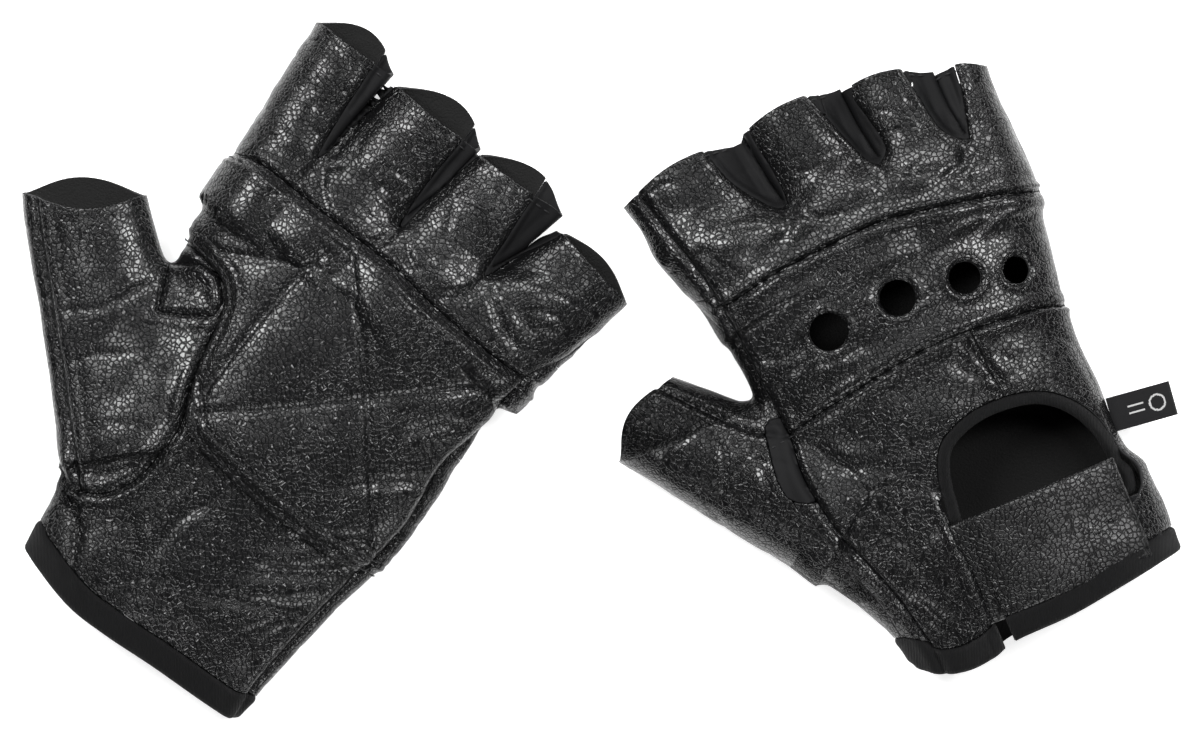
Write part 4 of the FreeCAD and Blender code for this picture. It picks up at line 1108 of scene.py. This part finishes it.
def bend_tab(g, strap, hinge, width=3.0):
    ends = [g.world(np.array([hinge[0] + d, hinge[1], hinge[2]]))[0] for d in (-width, width)]
    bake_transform(strap)


def label_piece(g):
    """A folded ribbon sewn into the side seam, with a plain ring and two lines as its mark."""
    length, width, turn = 19.5, 10.4, math.radians(-7)
    origin = np.array([54.5, -34.3, 20.0])
    around = np.linspace(0, 1, 161)
    across = 41
    half = 0.32
    points = []
    for t in around:
        bend = (t - 0.5) * 2
        reach = length * (1 - abs(bend))
        fold = math.sqrt(1 - (1 - min(length * abs(bend) / 0.8, 1)) ** 2)
        rise = half * math.copysign(1, bend) * fold
        points.append((reach, rise + 0.9 * math.sin(reach / length * 2.4)))
    points = np.array(points)
    step = np.gradient(points, axis=0)
    step /= np.linalg.norm(step, axis=1)[:, None] + 1e-9
    normal = np.stack([-step[:, 1], step[:, 0]], axis=1)
    rows = np.linspace(-width / 2, width / 2, across)
    faces = []
    for offset in (0.14, -0.14):
        line = points + normal * offset
        grid = np.stack([np.repeat(line[:, 0][:, None], across, 1),
                         np.repeat(rows[None], len(around), 0),
                         np.repeat(line[:, 1][:, None], across, 1)], axis=-1).reshape(-1, 3)
        c, s = math.cos(turn), math.sin(turn)
        grid = np.stack([grid[:, 0] * c - grid[:, 1] * s, grid[:, 0] * s + grid[:, 1] * c,
                         grid[:, 2]], axis=1) + origin
        faces.append(grid)
    cell = (np.arange(len(around) - 1)[:, None] * across + np.arange(across - 1)).ravel()
    quads = np.stack([cell, cell + 1, cell + across + 1, cell + across], axis=1)
    piece = shell("label_look", g.world(faces[0]), g.world(faces[1]), quads,
                  np.zeros((0, 3), int), (RIBBON, RIBBON, RIBBON))
    piece.data.materials.append(MARK)
    for face in piece.data.polygons:
        if face.material_index == 2:
            continue
        centre = face.center / MM
        c, s = math.cos(g.turn), math.sin(g.turn)
        x, y = centre.x - g.place_x, centre.y - g.place_y
        x, y = x * c + y * s - origin[0], -x * s + y * c - origin[1]
        x, y = x * math.cos(turn) + y * math.sin(turn), -x * math.sin(turn) + y * math.cos(turn)
        ring = abs(math.hypot(x - 14.6, y) - 2.3) < 0.28
        bar = 5.6 < x < 10.4 and abs(abs(y) - 1.1) < 0.22
        if ring or bar:
            face.material_index = 3
    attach(piece, "label")
    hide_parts("right_label")
    return piece


# ---- studio -------------------------------------------------------------------------------------

def studio():
    """White sweep, soft boxes and a camera straight above, as in a catalogue picture."""
    scene = bpy.context.scene
    bpy.ops.mesh.primitive_plane_add(size=3.0)
    floor = bpy.context.object
    floor.name = "floor"
    white = Shader("floor_white", (0.92, 0.92, 0.92), 0.9)
    white.set(Emission_Color=(1, 1, 1, 1), Emission_Strength=0.6)
    floor.data.materials.append(white.material)
    boxes = (("key_left", (-0.50, 0.38, 1.0), (0.24, 0.5), 8.0),
             ("key_right", (0.52, 0.28, 1.0), (0.2, 0.45), 6.5),
             ("behind", (0.0, 0.85, 0.8), (1.1, 0.2), 8.0),
             ("front", (0.1, -0.8, 0.8), (1.0, 0.15), 4.0))
    for name, position, size, power in boxes:
        light = bpy.data.lights.new(name, "AREA")
        light.shape = "RECTANGLE"
        light.size, light.size_y = size
        light.energy = power
        lamp = bpy.data.objects.new(name, light)
        lamp.location = position
        lamp.rotation_euler = (-Vector(position)).to_track_quat("-Z", "Y").to_euler()
        bpy.context.collection.objects.link(lamp)
    world = bpy.data.worlds.new("world")
    world.use_nodes = True
    world.node_tree.nodes["Background"].inputs[0].default_value = (1, 1, 1, 1)
    world.node_tree.nodes["Background"].inputs[1].default_value = 0.03
    scene.world = world
    scene.view_settings.view_transform = "Standard"
    camera = bpy.data.cameras.new("camera")
    camera.sensor_width = 36.0
    distance = 2.0
    width = 0.36         # seen at the height of the gloves' middle, subject_z
    subject_z = 0.02
    camera.lens = camera.sensor_width * (distance - subject_z) / width
    eye = bpy.data.objects.new("camera", camera)
    eye.location = (0, 0, distance)
    bpy.context.collection.objects.link(eye)
    scene.camera = eye


left = build_left()
right = build_right()

strap = tab(right, (0.5, 49.6), (-77.6, -45.6), True, 0.5, (14.0, 54.6), (7.0, 47.0))
bend_tab(right, strap, (0.5, -62, 37.2))
strap = tab(left, (-19.5, 20.0), (-84.0, -51.0), False, -19.5, (0.0, 22.0), (2.0, 18.0), TAB_DENT)
bend_tab(left, strap, (-19.5, -67, 1.6))
label_piece(right)
studio()
